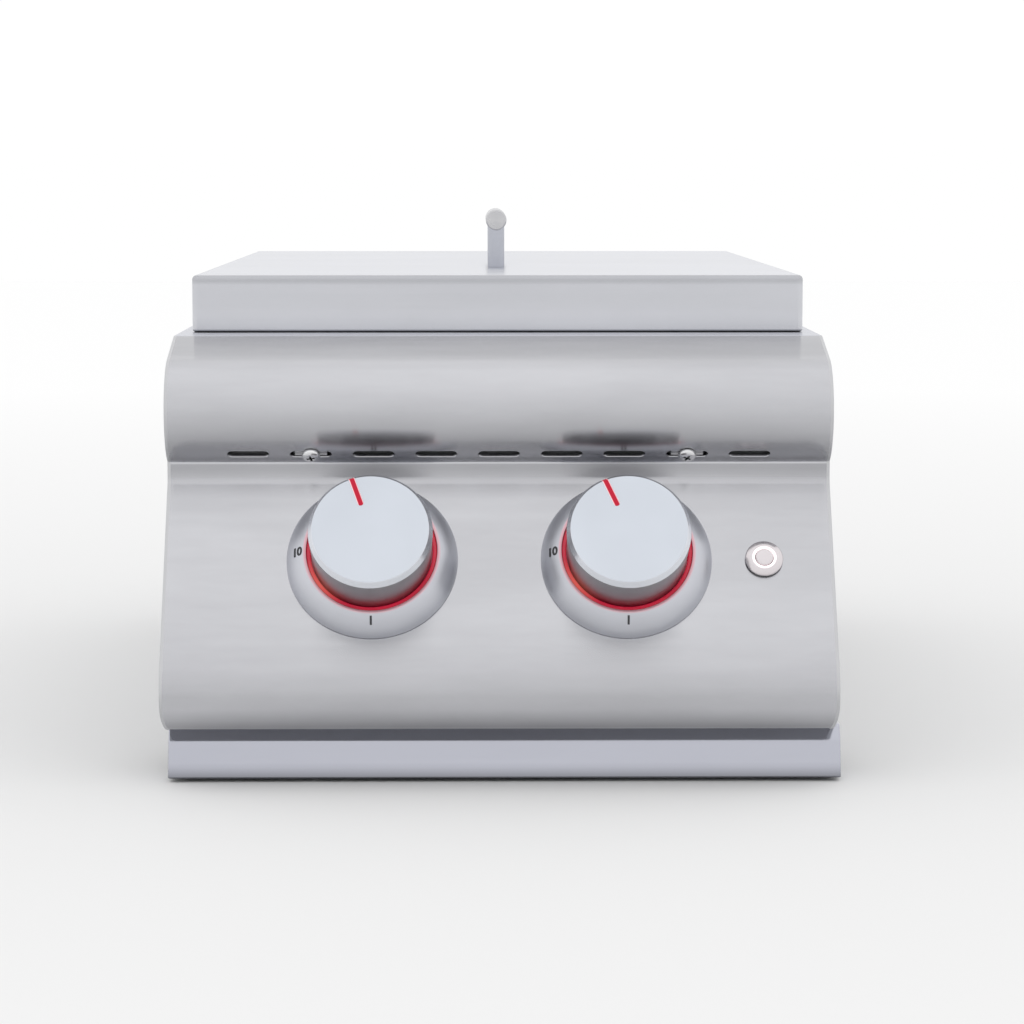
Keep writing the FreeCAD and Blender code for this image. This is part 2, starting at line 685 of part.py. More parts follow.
def burner_rails():
    """Two cross rails with end tabs that carry the burners."""
    rails = []
    for y in (FRONT_BURNER_Y, REAR_BURNER_Y):
        y0 = y - RAIL_WIDTH / 2
        y1 = y + RAIL_WIDTH / 2
        rail = block(-BOX_INNER, BOX_INNER, y0, y1, RAIL_TOP - RAIL_SHEET, RAIL_TOP)
        tabs = [block(-BOX_INNER, -BOX_INNER + RAIL_SHEET, y0, y1, RAIL_TOP - RAIL_TAB, RAIL_TOP),
                block(BOX_INNER - RAIL_SHEET, BOX_INNER, y0, y1, RAIL_TOP - RAIL_TAB, RAIL_TOP)]
        holes = [rod(V(0, y, RAIL_TOP - 5), V(0, y, RAIL_TOP + 5), TUBE_R + 0.5)]
        for x in (-IGNITER_OFFSET, IGNITER_OFFSET):
            holes.append(rod(V(x, y, RAIL_TOP - 5), V(x, y, RAIL_TOP + 5), IGNITER_R + 0.2))
        rails.append(rail.multiFuse(tabs).cut(holes).removeSplitter())
    return Part.makeCompound(rails)


def tray_runners():
    """Two angle runners on the side walls that carry the drip tray's rims."""
    runners = []
    for side in (-1, 1):
        wall_x = side * BOX_INNER
        leg = [wall_x - side * RUNNER_LEG, wall_x]
        upright = [wall_x - side * RUNNER_SHEET, wall_x]
        y0 = FRONT_Y + 2 * WALL_SHEET
        y1 = REAR_Y - 2 * WALL_SHEET
        shelf = block(min(leg), max(leg), y0, y1, RUNNER_TOP - RUNNER_SHEET, RUNNER_TOP)
        web = block(min(upright), max(upright), y0, y1, RUNNER_TOP - RUNNER_HEIGHT, RUNNER_TOP)
        runners.append(shelf.fuse(web).removeSplitter())
    return Part.makeCompound(runners)


# Lid
def lid_shell():
    """The pan lid: one drawn shell with rounded edges and a hem round its foot."""
    half = WIDTH / 2 - LID_SIDE_MARGIN
    shell = block(-half, half, LID_FRONT_Y, LID_REAR_Y, LID_BASE, LID_TOP)
    uprights = []
    tops = []
    feet = []
    for edge in shell.Edges:
        middle = edge.CenterOfMass
        if abs(edge.tangentAt(edge.FirstParameter).z) > 0.99:
            uprights.append(edge)
        elif middle.z > LID_TOP - 0.1:
            tops.append(edge)
        else:
            feet.append(edge)
    shell = shell.makeFillet(LID_EDGE_R, uprights + tops)
    feet = [edge for edge in shell.Edges if edge.BoundBox.ZMax < LID_BASE + 0.01]
    shell = shell.makeFillet(LID_HEM_R, feet)
    hem_half = half - LID_HEM
    hem_hole = rounded_plate(hem_half, LID_FRONT_Y + LID_HEM, LID_REAR_Y - LID_HEM,
                             LID_BASE - 1, LID_BASE + LID_HEM + 0.1, LID_EDGE_R)
    wall_half = half - LID_SHEET
    hollow = rounded_plate(wall_half, LID_FRONT_Y + LID_SHEET, LID_REAR_Y - LID_SHEET,
                           LID_BASE + LID_HEM, LID_TOP - LID_SHEET, LID_EDGE_R - LID_SHEET)
    holes = [rod(V(0, y, LID_TOP - 5), V(0, y, LID_TOP + 5), HANDLE_SCREW_R + 0.2) for y in post_places()]
    return shell.cut([hem_hole, hollow] + holes)


def post_places():
    """The y places of the handle's two posts."""
    front = LID_FRONT_Y + HANDLE_FRONT_POST
    return [front, front + HANDLE_POST_PITCH]


def handle_bar():
    """The round grip bar, end on to the front."""
    middle = sum(post_places()) / 2
    z = LID_TOP + HANDLE_RISE
    half = HANDLE_BAR_LENGTH / 2
    tip = HANDLE_CHAMFER
    bar = rod(V(0, middle - half + tip, z), V(0, middle + half - tip, z), HANDLE_BAR_R)
    front = cone(V(0, middle - half, z), V(0, middle - half + tip, z), HANDLE_BAR_R - tip, HANDLE_BAR_R)
    back = cone(V(0, middle + half - tip, z), V(0, middle + half, z), HANDLE_BAR_R, HANDLE_BAR_R - tip)
    return bar.multiFuse([front, back]).removeSplitter()


def handle_posts():
    """The two posts from the lid's top to the underside of the bar."""
    posts = []
    z = LID_TOP + HANDLE_RISE
    for y in post_places():
        post = rod(V(0, y, LID_TOP), V(0, y, z), HANDLE_POST_R)
        bar = rod(V(0, y - 20, z), V(0, y + 20, z), HANDLE_BAR_R + 0.02)
        hole = rod(V(0, y, LID_TOP - 1), V(0, y, LID_TOP + HANDLE_SCREW_REACH), HANDLE_SCREW_R + CLOSE_GAP)
        posts.append(post.cut([bar, hole]))
    return Part.makeCompound(posts)


def handle_screws():
    """The two screws that hold the posts from under the lid."""
    under = LID_TOP - LID_SHEET
    screws = []
    for y in post_places():
        head = rod(V(0, y, under - HANDLE_SCREW_HEAD), V(0, y, under), HANDLE_SCREW_HEAD_R)
        shank = rod(V(0, y, under - 1), V(0, y, LID_TOP + HANDLE_SCREW_REACH - 2), HANDLE_SCREW_R)
        socket = rod(V(0, y, under - 5), V(0, y, under - 1.2), 1.6)
        screws.append(head.fuse(shank).cut(socket).removeSplitter())
    return Part.makeCompound(screws)


# Knobs and what shows round them
def knob_solid():
    """The knob's outer form without its pointer slot: tapered skirt, chamfer and flat face."""
    return turned([(0, KNOB_FOOT), (KNOB_FOOT_R, KNOB_FOOT), (KNOB_R, KNOB_RIM),
                   (KNOB_FACE_R, KNOB_FACE), (0, KNOB_FACE)])


def pointer_slot(spare):
    """The slot from the knob's rim inwards at twelve o'clock, with a round inner end."""
    outer = KNOB_R
    inner = outer - POINTER_LENGTH
    half = POINTER_WIDTH / 2 + spare
    base = KNOB_FACE - POINTER_DEPTH - spare
    run = block(-half, half, inner + POINTER_WIDTH / 2, outer + 2, base, KNOB_FACE + 2)
    end = rod(V(0, inner + POINTER_WIDTH / 2, base), V(0, inner + POINTER_WIDTH / 2, KNOB_FACE + 2), half)
    return run.fuse(end).removeSplitter()


def knob():
    """The knob: hollow skirt, face with a pointer slot, and a hub bored for the stem."""
    roof = KNOB_RIM - 3.0
    inner_r = KNOB_FOOT_R - KNOB_WALL
    hollow = rod(V(0, 0, KNOB_FOOT - 1), V(0, 0, roof), inner_r)
    hub_base = KNOB_FOOT + 2.0
    hub = rod(V(0, 0, hub_base), V(0, 0, roof + 0.5), KNOB_HUB_R)
    bore = rod(V(0, 0, hub_base - 1), V(0, 0, stem_top() + 0.5), STEM_R + RUNNING_FIT)
    return knob_solid().cut(hollow).fuse(hub).cut([bore, pointer_slot(RUNNING_FIT)]).removeSplitter()


def stem_top():
    """How far the valve stem reaches into the knob's hub."""
    return KNOB_RIM - 5.0


def pointer():
    """The lit insert that fills the knob's pointer slot."""
    return knob_solid().common(pointer_slot(0))


def bezel():
    """The raised conical bezel round a knob, dished inside to take the light ring."""
    lip_r = BEZEL_BORE_R + BEZEL_LIP
    return turned([(BEZEL_HOLE_R, 0), (BEZEL_R, 0), (BEZEL_R, BEZEL_EDGE), (lip_r, BEZEL_HEIGHT, BEZEL_BULGE),
                   (BEZEL_BORE_R, BEZEL_HEIGHT), (BEZEL_BORE_R, BEZEL_FLOOR), (BEZEL_HOLE_R, BEZEL_FLOOR)])


def light_ring():
    """The clear ring in the bezel that glows round the knob's foot."""
    outer = BEZEL_BORE_R - CLOSE_GAP
    top = BEZEL_HEIGHT - LIGHT_RING_DROP
    return tube(V(0, 0, BEZEL_FLOOR), V(0, 0, top), outer, outer - LIGHT_RING_WALL)


# Valves
def valve_stem():
    """The stem from the knob's hub to the valve plug, with a collar at its foot."""
    shaft = rod(V(0, 0, -STEM_DEPTH), V(0, 0, stem_top()), STEM_R)
    collar = rod(V(0, 0, -STEM_DEPTH), V(0, 0, -PLUG_FRONT), STEM_COLLAR_R)
    return shaft.fuse(collar).removeSplitter()


def valve_body(x):
    """One valve body: bonnet, barrel, inlet arm down to the manifold and outlet arm to the rear."""
    barrel = rod(V(0, 0, -VALVE_BACK), V(0, 0, -VALVE_FRONT), VALVE_R)
    bonnet = rod(V(0, 0, -VALVE_FRONT - 1), V(0, 0, -BONNET_FRONT), BONNET_R)
    end = rod(V(0, 0, -VALVE_END), V(0, 0, -VALVE_BACK + 1), BONNET_R)
    inlet = rod(V(0, 0, -OUTLET_DEPTH), V(0, -MANIFOLD_DROP, -OUTLET_DEPTH), INLET_R)
    body = on_face(barrel.multiFuse([bonnet, end, inlet]), x)
    middle = V(x, FRONT_Y - OUTLET_OUT, OUTLET_Z)
    outlet_end = V(x, FRONT_Y - OUTLET_END, OUTLET_Z)
    body = body.fuse(rod(middle, outlet_end, OUTLET_R))
    stem_hole = rod(V(0, 0, -PLUG_FRONT - 1), V(0, 0, 0), STEM_R + RUNNING_FIT)
    chamber = rod(V(0, 0, -PLUG_BACK - 0.3), V(0, 0, -PLUG_FRONT + 0.3), PLUG_R + RUNNING_FIT)
    gas_in = rod(V(0, 0, -OUTLET_DEPTH), V(0, -MANIFOLD_DROP, -OUTLET_DEPTH), GAS_HOLE_R)
    cuts = [on_face(cut, x) for cut in (stem_hole, chamber, gas_in)]
    cuts.append(rod(middle, outlet_end + V(0, 1, 0), GAS_HOLE_R))
    cuts.append(rod(V(x - 40, FRONT_Y - MANIFOLD_OUT, MANIFOLD_Z), V(x + 40, FRONT_Y - MANIFOLD_OUT, MANIFOLD_Z),
                    MANIFOLD_R + 0.02))
    return body.cut(cuts).removeSplitter()


def valve_plug():
    """The turning plug in the valve's chamber, bored for the stem's collar and the spring."""
    plug = rod(V(0, 0, -PLUG_BACK), V(0, 0, -PLUG_FRONT), PLUG_R)
    return plug.cut(rod(V(0, 0, -PLUG_BORE_BACK), V(0, 0, 0), PLUG_BORE_R))


def valve_spring():
    """The coil spring between the plug and the stem's foot."""
    length = PLUG_BORE_BACK - STEM_DEPTH - 2 * SPRING_WIRE_R - 0.2
    helix = Part.makeLongHelix(SPRING_PITCH, length, SPRING_R)
    start = V(SPRING_R, 0, 0)
    rise = V(0, 2 * math.pi * SPRING_R, SPRING_PITCH)
    section = Part.Wire(Part.makeCircle(SPRING_WIRE_R, start, rise))
    coil = Part.Wire(helix.Edges).makePipeShell([section], True, True)
    coil.translate(V(0, 0, -PLUG_BORE_BACK + SPRING_WIRE_R + 0.1))
    return coil


def gas_jets():
    """The two brass jets in the valve outlets, their noses standing in the burner mouths."""
    jets = []
    for x in (LEFT_KNOB_X, RIGHT_KNOB_X):
        seat = V(x, FRONT_Y - OUTLET_END, OUTLET_Z)
        shoulder = seat + V(0, 4, 0)
        tip = seat + V(0, JET_NOSE, 0)
        collar = rod(seat, shoulder, JET_R)
        nose = cone(shoulder, tip, JET_NOSE_R, JET_NOSE_R - 1.0)
        bore = rod(seat - V(0, 1, 0), tip + V(0, 1, 0), JET_BORE_R)
        jets.append(collar.fuse(nose).cut(bore))
    return Part.makeCompound(jets)


# Gas supply
def gas_manifold():
    """The cross pipe that feeds both valves."""
    y = FRONT_Y - MANIFOLD_OUT
    left = LEFT_KNOB_X - MANIFOLD_END
    pipe = rod(V(left, y, MANIFOLD_Z), V(MANIFOLD_RIGHT, y, MANIFOLD_Z), MANIFOLD_R)
    bore = rod(V(left + 3, y, MANIFOLD_Z), V(MANIFOLD_RIGHT + 1, y, MANIFOLD_Z), MANIFOLD_BORE_R)
    taps = []
    for x in (LEFT_KNOB_X, RIGHT_KNOB_X):
        axis = V(x, FRONT_Y - OUTLET_OUT, OUTLET_Z)
        taps.append(rod(V(x, y, MANIFOLD_Z), axis, GAS_HOLE_R))
    socket = tube(V(MANIFOLD_RIGHT - 8, y, MANIFOLD_Z), V(MANIFOLD_RIGHT, y, MANIFOLD_Z),
                  MANIFOLD_BORE_R + 0.5, FEED_PIPE_BORE_R)
    return pipe.cut([bore] + taps).fuse(socket).removeSplitter()


def manifold_brackets():
    """Two angle brackets that carry the manifold from the firewall."""
    top = MANIFOLD_Z - MANIFOLD_R - 0.02
    brackets = []
    for x in (-BRACKET_OFFSET, BRACKET_OFFSET):
        x0 = x - BRACKET_WIDTH / 2
        x1 = x + BRACKET_WIDTH / 2
        reach = FRONT_Y - MANIFOLD_OUT - MANIFOLD_R
        shelf = block(x0, x1, reach, FRONT_Y, top - BRACKET_SHEET, top)
        foot = block(x0, x1, FRONT_Y - BRACKET_SHEET, FRONT_Y, top - 18, top)
        stop = block(x0, x1, reach - BRACKET_SHEET, reach, top - BRACKET_SHEET, top + 6)
        brackets.append(shelf.multiFuse([foot, stop]).removeSplitter())
    return Part.makeCompound(brackets)


def gas_feed_pipe():
    """The pipe from the manifold through the firewall to the rear inlet."""
    y = FRONT_Y - MANIFOLD_OUT
    route = [V(MANIFOLD_RIGHT, y, MANIFOLD_Z), V(FEED_X, y, MANIFOLD_Z),
             V(FEED_X, REAR_Y - WALL_SHEET - INLET_NUT, MANIFOLD_Z)]
    return bent_rod(route, FEED_PIPE_R, FEED_BEND_R).cut(bent_rod(route, FEED_PIPE_BORE_R, FEED_BEND_R))


def gas_inlet_fitting():
    """The inlet: a hexagon inside the rear wall, a collar through it, and a round male stub outside."""
    inner = REAR_Y - WALL_SHEET
    hexagon = Part.Face(Part.makePolygon([
        V(FEED_X + INLET_NUT_R * cosine(60 * i), inner - INLET_NUT, MANIFOLD_Z + INLET_NUT_R * sine(60 * i))
        for i in range(7)]))
    nut = hexagon.extrude(V(0, INLET_NUT, 0))
    collar_end = REAR_Y + INLET_COLLAR
    end = collar_end + INLET_STUB
    collar = rod(V(FEED_X, inner - 1, MANIFOLD_Z), V(FEED_X, collar_end, MANIFOLD_Z), INLET_COLLAR_R)
    stub = rod(V(FEED_X, inner - 1, MANIFOLD_Z), V(FEED_X, end, MANIFOLD_Z), INLET_STUB_R)
    bore = rod(V(FEED_X, inner - INLET_NUT - 1, MANIFOLD_Z), V(FEED_X, end + 1, MANIFOLD_Z), INLET_BORE_R)
    return nut.multiFuse([collar, stub]).cut(bore).removeSplitter()


def lead_grommet():
    """The rubber grommet in the rear wall where the lighting lead comes in."""
    half = GROMMET_LENGTH / 2
    neck = WALL_SHEET / 2
    ring = turned([(GROMMET_BORE_R, -half), (GROMMET_R - 1, -half), (GROMMET_R, -half + 1), (GROMMET_R, -neck),
                   (GROMMET_NECK_R - CLOSE_GAP, -neck), (GROMMET_NECK_R - CLOSE_GAP, neck), (GROMMET_R, neck),
                   (GROMMET_R, half - 1), (GROMMET_R - 1, half), (GROMMET_BORE_R, half)])
    ring.rotate(V(0, 0, 0), V(1, 0, 0), -90)
    ring.translate(V(-FEED_X, REAR_Y - WALL_SHEET / 2, MANIFOLD_Z))
    return ring


# Burners
def burner_body(x, y_burner):
    """A cast burner: mouth with air windows, mixing tube, and bowl, its mouth at x, its bowl at the middle."""
    mouth = FRONT_Y + MOUTH_SETBACK
    taper = mouth + MOUTH_LENGTH
    start = taper + MOUTH_TAPER
    z = OUTLET_Z
    rise = [V(x, start, z), V(x, y_burner - abs(x), z), V(0, y_burner, z), V(0, y_burner, RAIL_TOP + 1)]
    bends = [TUBE_BEND_R, TUBE_RISE_R]
    bowl_base = RAIL_TOP
    bowl = turned([(0, bowl_base), (FLANGE_R, bowl_base), (FLANGE_R, bowl_base + FLANGE_HEIGHT),
                   (BOWL_R, BOWL_TOP - 10), (BOWL_R, BOWL_TOP), (0, BOWL_TOP)])
    hollow = turned([(0, bowl_base - 1), (TUBE_BORE_R, bowl_base - 1), (TUBE_BORE_R, bowl_base + 6),
                     (BOWL_R - BOWL_WALL, BOWL_TOP - 8), (BOWL_R - BOWL_WALL, BOWL_TOP + 1), (0, BOWL_TOP + 1)])
    for piece in (bowl, hollow):
        piece.translate(V(0, y_burner, 0))
    outside = [rod(V(x, mouth, z), V(x, taper, z), MOUTH_R),
               cone(V(x, taper, z), V(x, start, z), MOUTH_R, TUBE_R),
               bent_rod(rise, TUBE_R, bends)]
    inside = [rod(V(x, mouth - 1, z), V(x, taper, z), MOUTH_BORE_R),
              cone(V(x, taper, z), V(x, start, z), MOUTH_BORE_R, TUBE_BORE_R),
              bent_rod(rise, TUBE_BORE_R, bends), hollow, air_windows(x)]
    return bowl.multiFuse(outside).cut(inside).removeSplitter()


def air_windows(x):
    """The two side windows through a burner mouth."""
    window_y = FRONT_Y + SHUTTER_START + (SHUTTER_LENGTH - AIR_WINDOW_LENGTH) / 2
    reach = MOUTH_R + 4
    return block(x - reach, x + reach, window_y, window_y + AIR_WINDOW_LENGTH,
                 OUTLET_Z - AIR_WINDOW_HEIGHT / 2, OUTLET_Z + AIR_WINDOW_HEIGHT / 2)


def air_shutter(x):
    """The turning sleeve over a burner mouth, with matching windows and a thumb tab on top."""
    y0 = FRONT_Y + SHUTTER_START
    y1 = y0 + SHUTTER_LENGTH
    inner = MOUTH_R + SHUTTER_GAP
    outer = inner + SHUTTER_WALL
    sleeve = tube(V(x, y0, OUTLET_Z), V(x, y1, OUTLET_Z), outer, inner)
    tab = block(x - 3, x + 3, y0, y0 + SHUTTER_WALL, OUTLET_Z + inner + 0.4, OUTLET_Z + outer + SHUTTER_TAB)
    return sleeve.cut(air_windows(x)).fuse(tab).removeSplitter()


def flame_rings():
    """The two brass port rings that stand in the burner bowls."""
    rings = []
    for y in (FRONT_BURNER_Y, REAR_BURNER_Y):
        spigot = BOWL_R - BOWL_WALL - 0.2
        ring = turned([(RING_BORE_R, BOWL_TOP - 4), (spigot, BOWL_TOP - 4), (spigot, BOWL_TOP), (RING_R, BOWL_TOP),
                       (RING_R, RING_TOP), (RING_BORE_R, RING_TOP)])
        height = BOWL_TOP + RING_HEIGHT * 0.6
        ports = []
        for i in range(PORT_COUNT):
            angle = (i + 0.5) * 360 / PORT_COUNT
            ports.append(rod(V(0, 0, height), V(50 * cosine(angle), 50 * sine(angle), height), PORT_R))
        ring = ring.cut(ports)
        ring.translate(V(0, y, 0))
        rings.append(ring)
    return Part.makeCompound(rings)


def burner_cap(y):
    """A loose domed burner cap, located by its skirt in the flame ring."""
    base = RING_TOP + LIFT_GAP
    skirt = RING_BORE_R - 0.4
    cap = turned([(0, base), (skirt - 2.6, base), (skirt - 2.6, base - 3), (skirt, base - 3), (skirt, base),
                  (CAP_R, base), (CAP_R, base + CAP_EDGE), (CAP_FLAT_R, base + CAP_EDGE + CAP_DOME, 0.8),
                  (0, base + CAP_EDGE + CAP_DOME)])
    cap.translate(V(0, y, 0))
    return cap


# Ignition
def igniters():
    """The two electrodes, each a ceramic with a collar on its rail and a pin bent towards the ports."""
    pieces = []
    for side, y in ((1, FRONT_BURNER_Y), (-1, REAR_BURNER_Y)):
        x = side * IGNITER_OFFSET
        top = RAIL_TOP + IGNITER_TOP
        ceramic = rod(V(x, y, RAIL_TOP - IGNITER_BELOW), V(x, y, top), IGNITER_R)
        collar = rod(V(x, y, RAIL_TOP), V(x, y, RAIL_TOP + 4), IGNITER_COLLAR_R)
        pin = bent_rod([V(x, y, top - 2), V(x, y, top + 4), V(x - side * IGNITER_PIN_REACH, y, top + 5)],
                       IGNITER_PIN_R, 1.5)
        pieces.append(ceramic.multiFuse([collar, pin]).removeSplitter())
    return Part.makeCompound(pieces)


def ignition_module():
    """The spark module on the firewall, with a mounting ear each side."""
    base = LEAD_Z - MODULE_HEIGHT / 2
    half = MODULE_WIDTH / 2
    case = block(-half, half, FRONT_Y - MODULE_DEPTH, FRONT_Y, base, base + MODULE_HEIGHT)
    edges = [edge for edge in case.Edges if edge.CenterOfMass.y < FRONT_Y - 1]
    case = case.makeFillet(2.0, edges)
    ears = block(-half - 8, half + 8, FRONT_Y - 3, FRONT_Y, LEAD_Z - 8, LEAD_Z + 8)
    holes = [rod(V(x, FRONT_Y - 10, LEAD_Z), V(x, FRONT_Y + 1, LEAD_Z), 2.0) for x in (-half - 4, half + 4)]
    return case.fuse(ears).cut(holes).removeSplitter()


def ignition_leads():
    """The two spark leads from the module through the firewall to the electrodes."""
    leads = []
    for side, y in ((1, FRONT_BURNER_Y), (-1, REAR_BURNER_Y)):
        near = side * LEAD_SPREAD
        far = side * IGNITER_OFFSET
        route = [V(near, FRONT_Y, LEAD_Z), V(near, FRONT_Y + 40, LEAD_Z), V(far, FRONT_Y + 100, LEAD_Z),
                 V(far, y, LEAD_Z), V(far, y, RAIL_TOP - IGNITER_BELOW)]
        leads.append(bent_rod(route, LEAD_R, LEAD_BEND_R))
    return Part.makeCompound(leads)


# Grates
def grate(y_middle):
    """A rod grate: a frame that lies on the ledge, bridge rods over it, and two cross rods under them."""
    low = LEDGE_TOP + LIFT_GAP + ROD_R
    high = DECK_HEIGHT + GRATE_RISE - ROD_R
    half_x = WELL_HALF - DECK_SHEET - GRATE_GAP - ROD_R
    half_y = GRATE_LENGTH / 2 - ROD_R
    y0 = y_middle - half_y
    y1 = y_middle + half_y
    frame = [bent_rod([V(0, y0, low), V(-half_x, y0, low), V(-half_x, y1, low), V(0, y1, low)],
                      ROD_R, GRATE_BEND_R),
             bent_rod([V(0, y0, low), V(half_x, y0, low), V(half_x, y1, low), V(0, y1, low)],
                      ROD_R, GRATE_BEND_R)]
    pitch = 2 * half_x / (GRATE_RODS + 1)
    bridges = []
    for i in range(GRATE_RODS):
        x = (i - (GRATE_RODS - 1) / 2) * pitch
        route = [V(x, y0, low), V(x, y0, high), V(x, y1, high), V(x, y1, low)]
        bridges.append(bent_rod(route, ROD_R, GRATE_BEND_R))
    crosses = []
    reach = (GRATE_RODS - 1) / 2 * pitch + 8
    for offset in (-CROSS_ROD_OFFSET, CROSS_ROD_OFFSET):
        y = y_middle + offset
        z = high - 2 * ROD_R + 1.5
        crosses.append(rod(V(-reach, y, z), V(reach, y, z), ROD_R - 0.5))
    return frame[0].multiFuse([frame[1]] + bridges + crosses).removeSplitter()


# Drip tray
def drip_tray_front():
    """The front strip: a sheet folded back at top and foot, leaning out to its foot, with closed ends."""
    points = [(STRIP_TOP_OUT - STRIP_TOP_FLANGE, STRIP_TOP), (STRIP_TOP_OUT, STRIP_TOP),
              (STRIP_FOOT_OUT, STRIP_FOOT), (STRIP_FOOT_OUT - STRIP_FOOT_FLANGE, STRIP_FOOT)]
    bends = [1.5, STRIP_BEND_R]
    x = -WIDTH / 2 + STRIP_SHIFT
    strip = folded_face(points, bends, STRIP_SHEET, x).extrude(V(WIDTH, 0, 0))
    outline = [V(0, -p[0], p[1]) for p in points]
    edges = rounded_run(outline, bends)
    edges.append(Part.makeLine(outline[-1], outline[0]))
    end = Part.Face(Part.Wire(Part.__sortEdges__(edges)))
    end.translate(V(x, FRONT_Y, 0))
    left = end.extrude(V(STRIP_SHEET, 0, 0))
    right = left.copy()
    right.translate(V(WIDTH - STRIP_SHEET, 0, 0))
    return strip.multiFuse([left, right]).removeSplitter()


def drip_tray_pan():
    """The tray's pan, standing on the strip's foot and hung by its side rims over the runners."""
    rim_top = RIM_BASE + TRAY_SHEET
    body = rounded_plate(TRAY_HALF, TRAY_FRONT_Y, TRAY_REAR_Y, TRAY_BASE, rim_top, 4.0)
    rims = block(-TRAY_HALF - TRAY_RIM, TRAY_HALF + TRAY_RIM, FRONT_Y + 4, TRAY_REAR_Y, RIM_BASE, rim_top)
    hollow = rounded_plate(TRAY_HALF - TRAY_SHEET, TRAY_FRONT_Y + TRAY_SHEET, TRAY_REAR_Y - TRAY_SHEET,
                           TRAY_BASE + TRAY_SHEET, rim_top + 1, 4.0 - TRAY_SHEET)
    return body.fuse(rims).cut(hollow).removeSplitter()


# Push button
def button_housing():
    """The button's body: domed bezel, threaded barrel through the panel, and a bore for the cap."""
    base = BUTTON_GASKET
    top = base + BUTTON_BEZEL
    bezel_form = turned([(0, base), (BUTTON_BEZEL_R, base), (BUTTON_BEZEL_R, base + 0.6),
                         (BUTTON_RING_R + 0.6, top, 0.35), (0, top)])
    barrel = rod(V(0, 0, -BUTTON_BARREL), V(0, 0, base), BUTTON_BARREL_R)
    ring_seat = rod(V(0, 0, base + 1.0), V(0, 0, top + 1), BUTTON_RING_R + 0.02)
    bore_floor = -BUTTON_PLUNGER - BUTTON_PUSH - 1.5
    bore = rod(V(0, 0, bore_floor), V(0, 0, top + 1), BUTTON_CAP_R + 0.3)
    return bezel_form.fuse(barrel).cut([ring_seat, bore]).removeSplitter()


def button_light_ring():
    """The clear ring round the button's cap."""
    base = BUTTON_GASKET + 1.0
    return tube(V(0, 0, base), V(0, 0, BUTTON_GASKET + BUTTON_BEZEL), BUTTON_RING_R, BUTTON_RING_BORE_R)


def button_cap():
    """The button's cap and plunger."""
    top = BUTTON_GASKET + BUTTON_BEZEL + BUTTON_CAP_RISE
    return turned([(0, -BUTTON_PLUNGER), (BUTTON_CAP_R, -BUTTON_PLUNGER), (BUTTON_CAP_R, top - 0.4),
                   (BUTTON_CAP_R - 0.4, top), (0, top)])


def button_gasket():
    """The flat gasket under the button's bezel."""
    return tube(V(0, 0, 0), V(0, 0, BUTTON_GASKET), BUTTON_GASKET_R, BUTTON_BARREL_R + 0.1)


def button_nut():
    """The hexagon nut that holds the button behind the panel."""
    hexagon = Part.Face(Part.makePolygon([
        V(BUTTON_NUT_R * cosine(60 * i), BUTTON_NUT_R * sine(60 * i), -PANEL_SHEET) for i in range(7)]))
    nut = hexagon.extrude(V(0, 0, -BUTTON_NUT))
    return nut.cut(rod(V(0, 0, -20), V(0, 0, 0), BUTTON_BARREL_R + 0.05))


def pieces():
    """Every node of the object by name."""
    made = {
        "deck_frame": deck_frame(),
        "left_side_wall": side_wall(-1),
        "right_side_wall": side_wall(1),
        "rear_wall": rear_wall(),
        "box_floor": box_floor(),
        "firewall": firewall(),
        "control_panel": control_panel(),
        "left_end_cap": end_cap(-1),
        "right_end_cap": end_cap(1),
        "housing_floor": housing_floor(),
        "panel_brace": panel_brace(),
        "panel_screws": panel_screws(),
        "panel_clips": panel_clips(),
        "tray_runners": tray_runners(),
        "gas_manifold": gas_manifold(),
        "manifold_brackets": manifold_brackets(),
        "gas_jets": gas_jets(),
        "front_burner_body": burner_body(RIGHT_KNOB_X, FRONT_BURNER_Y),
        "rear_burner_body": burner_body(LEFT_KNOB_X, REAR_BURNER_Y),
        "flame_rings": flame_rings(),
        "burner_rails": burner_rails(),
        "igniters": igniters(),
        "ignition_module": ignition_module(),
        "ignition_leads": ignition_leads(),
        "gas_feed_pipe": gas_feed_pipe(),
        "gas_inlet_fitting": gas_inlet_fitting(),
        "lead_grommet": lead_grommet(),
        "button_housing": on_face(button_housing(), BUTTON_X),
        "button_light_ring": on_face(button_light_ring(), BUTTON_X),
        "button_nut": on_face(button_nut(), BUTTON_X),
        "button_gasket": on_face(button_gasket(), BUTTON_X),
        "button_cap": on_face(button_cap(), BUTTON_X),
        "lid_shell": lid_shell(),
        "handle_bar": handle_bar(),
        "handle_posts": handle_posts(),
        "handle_screws": handle_screws(),
        "front_grate": grate(FRONT_BURNER_Y),
        "rear_grate": grate(REAR_BURNER_Y),
        "front_burner_cap": burner_cap(FRONT_BURNER_Y),
        "rear_burner_cap": burner_cap(REAR_BURNER_Y),
        "front_air_shutter": air_shutter(RIGHT_KNOB_X),
        "rear_air_shutter": air_shutter(LEFT_KNOB_X),
        "drip_tray_pan": drip_tray_pan(),
        "drip_tray_front": drip_tray_front(),
    }
    for name, x, turn in (("left", LEFT_KNOB_X, LEFT_KNOB_TURN), ("right", RIGHT_KNOB_X, RIGHT_KNOB_TURN)):
        made[name + "_bezel"] = on_face(bezel(), x)
        made[name + "_light_ring"] = on_face(light_ring(), x)
        made[name + "_knob"] = on_face(knob(), x, turn)
        made[name + "_pointer"] = on_face(pointer(), x, turn)
        made[name + "_valve_stem"] = on_face(valve_stem(), x)
        made[name + "_valve_spring"] = on_face(valve_spring(), x)
        made[name + "_valve_plug"] = on_face(valve_plug(), x)
        made[name + "_valve_body"] = valve_body(x)
    return made


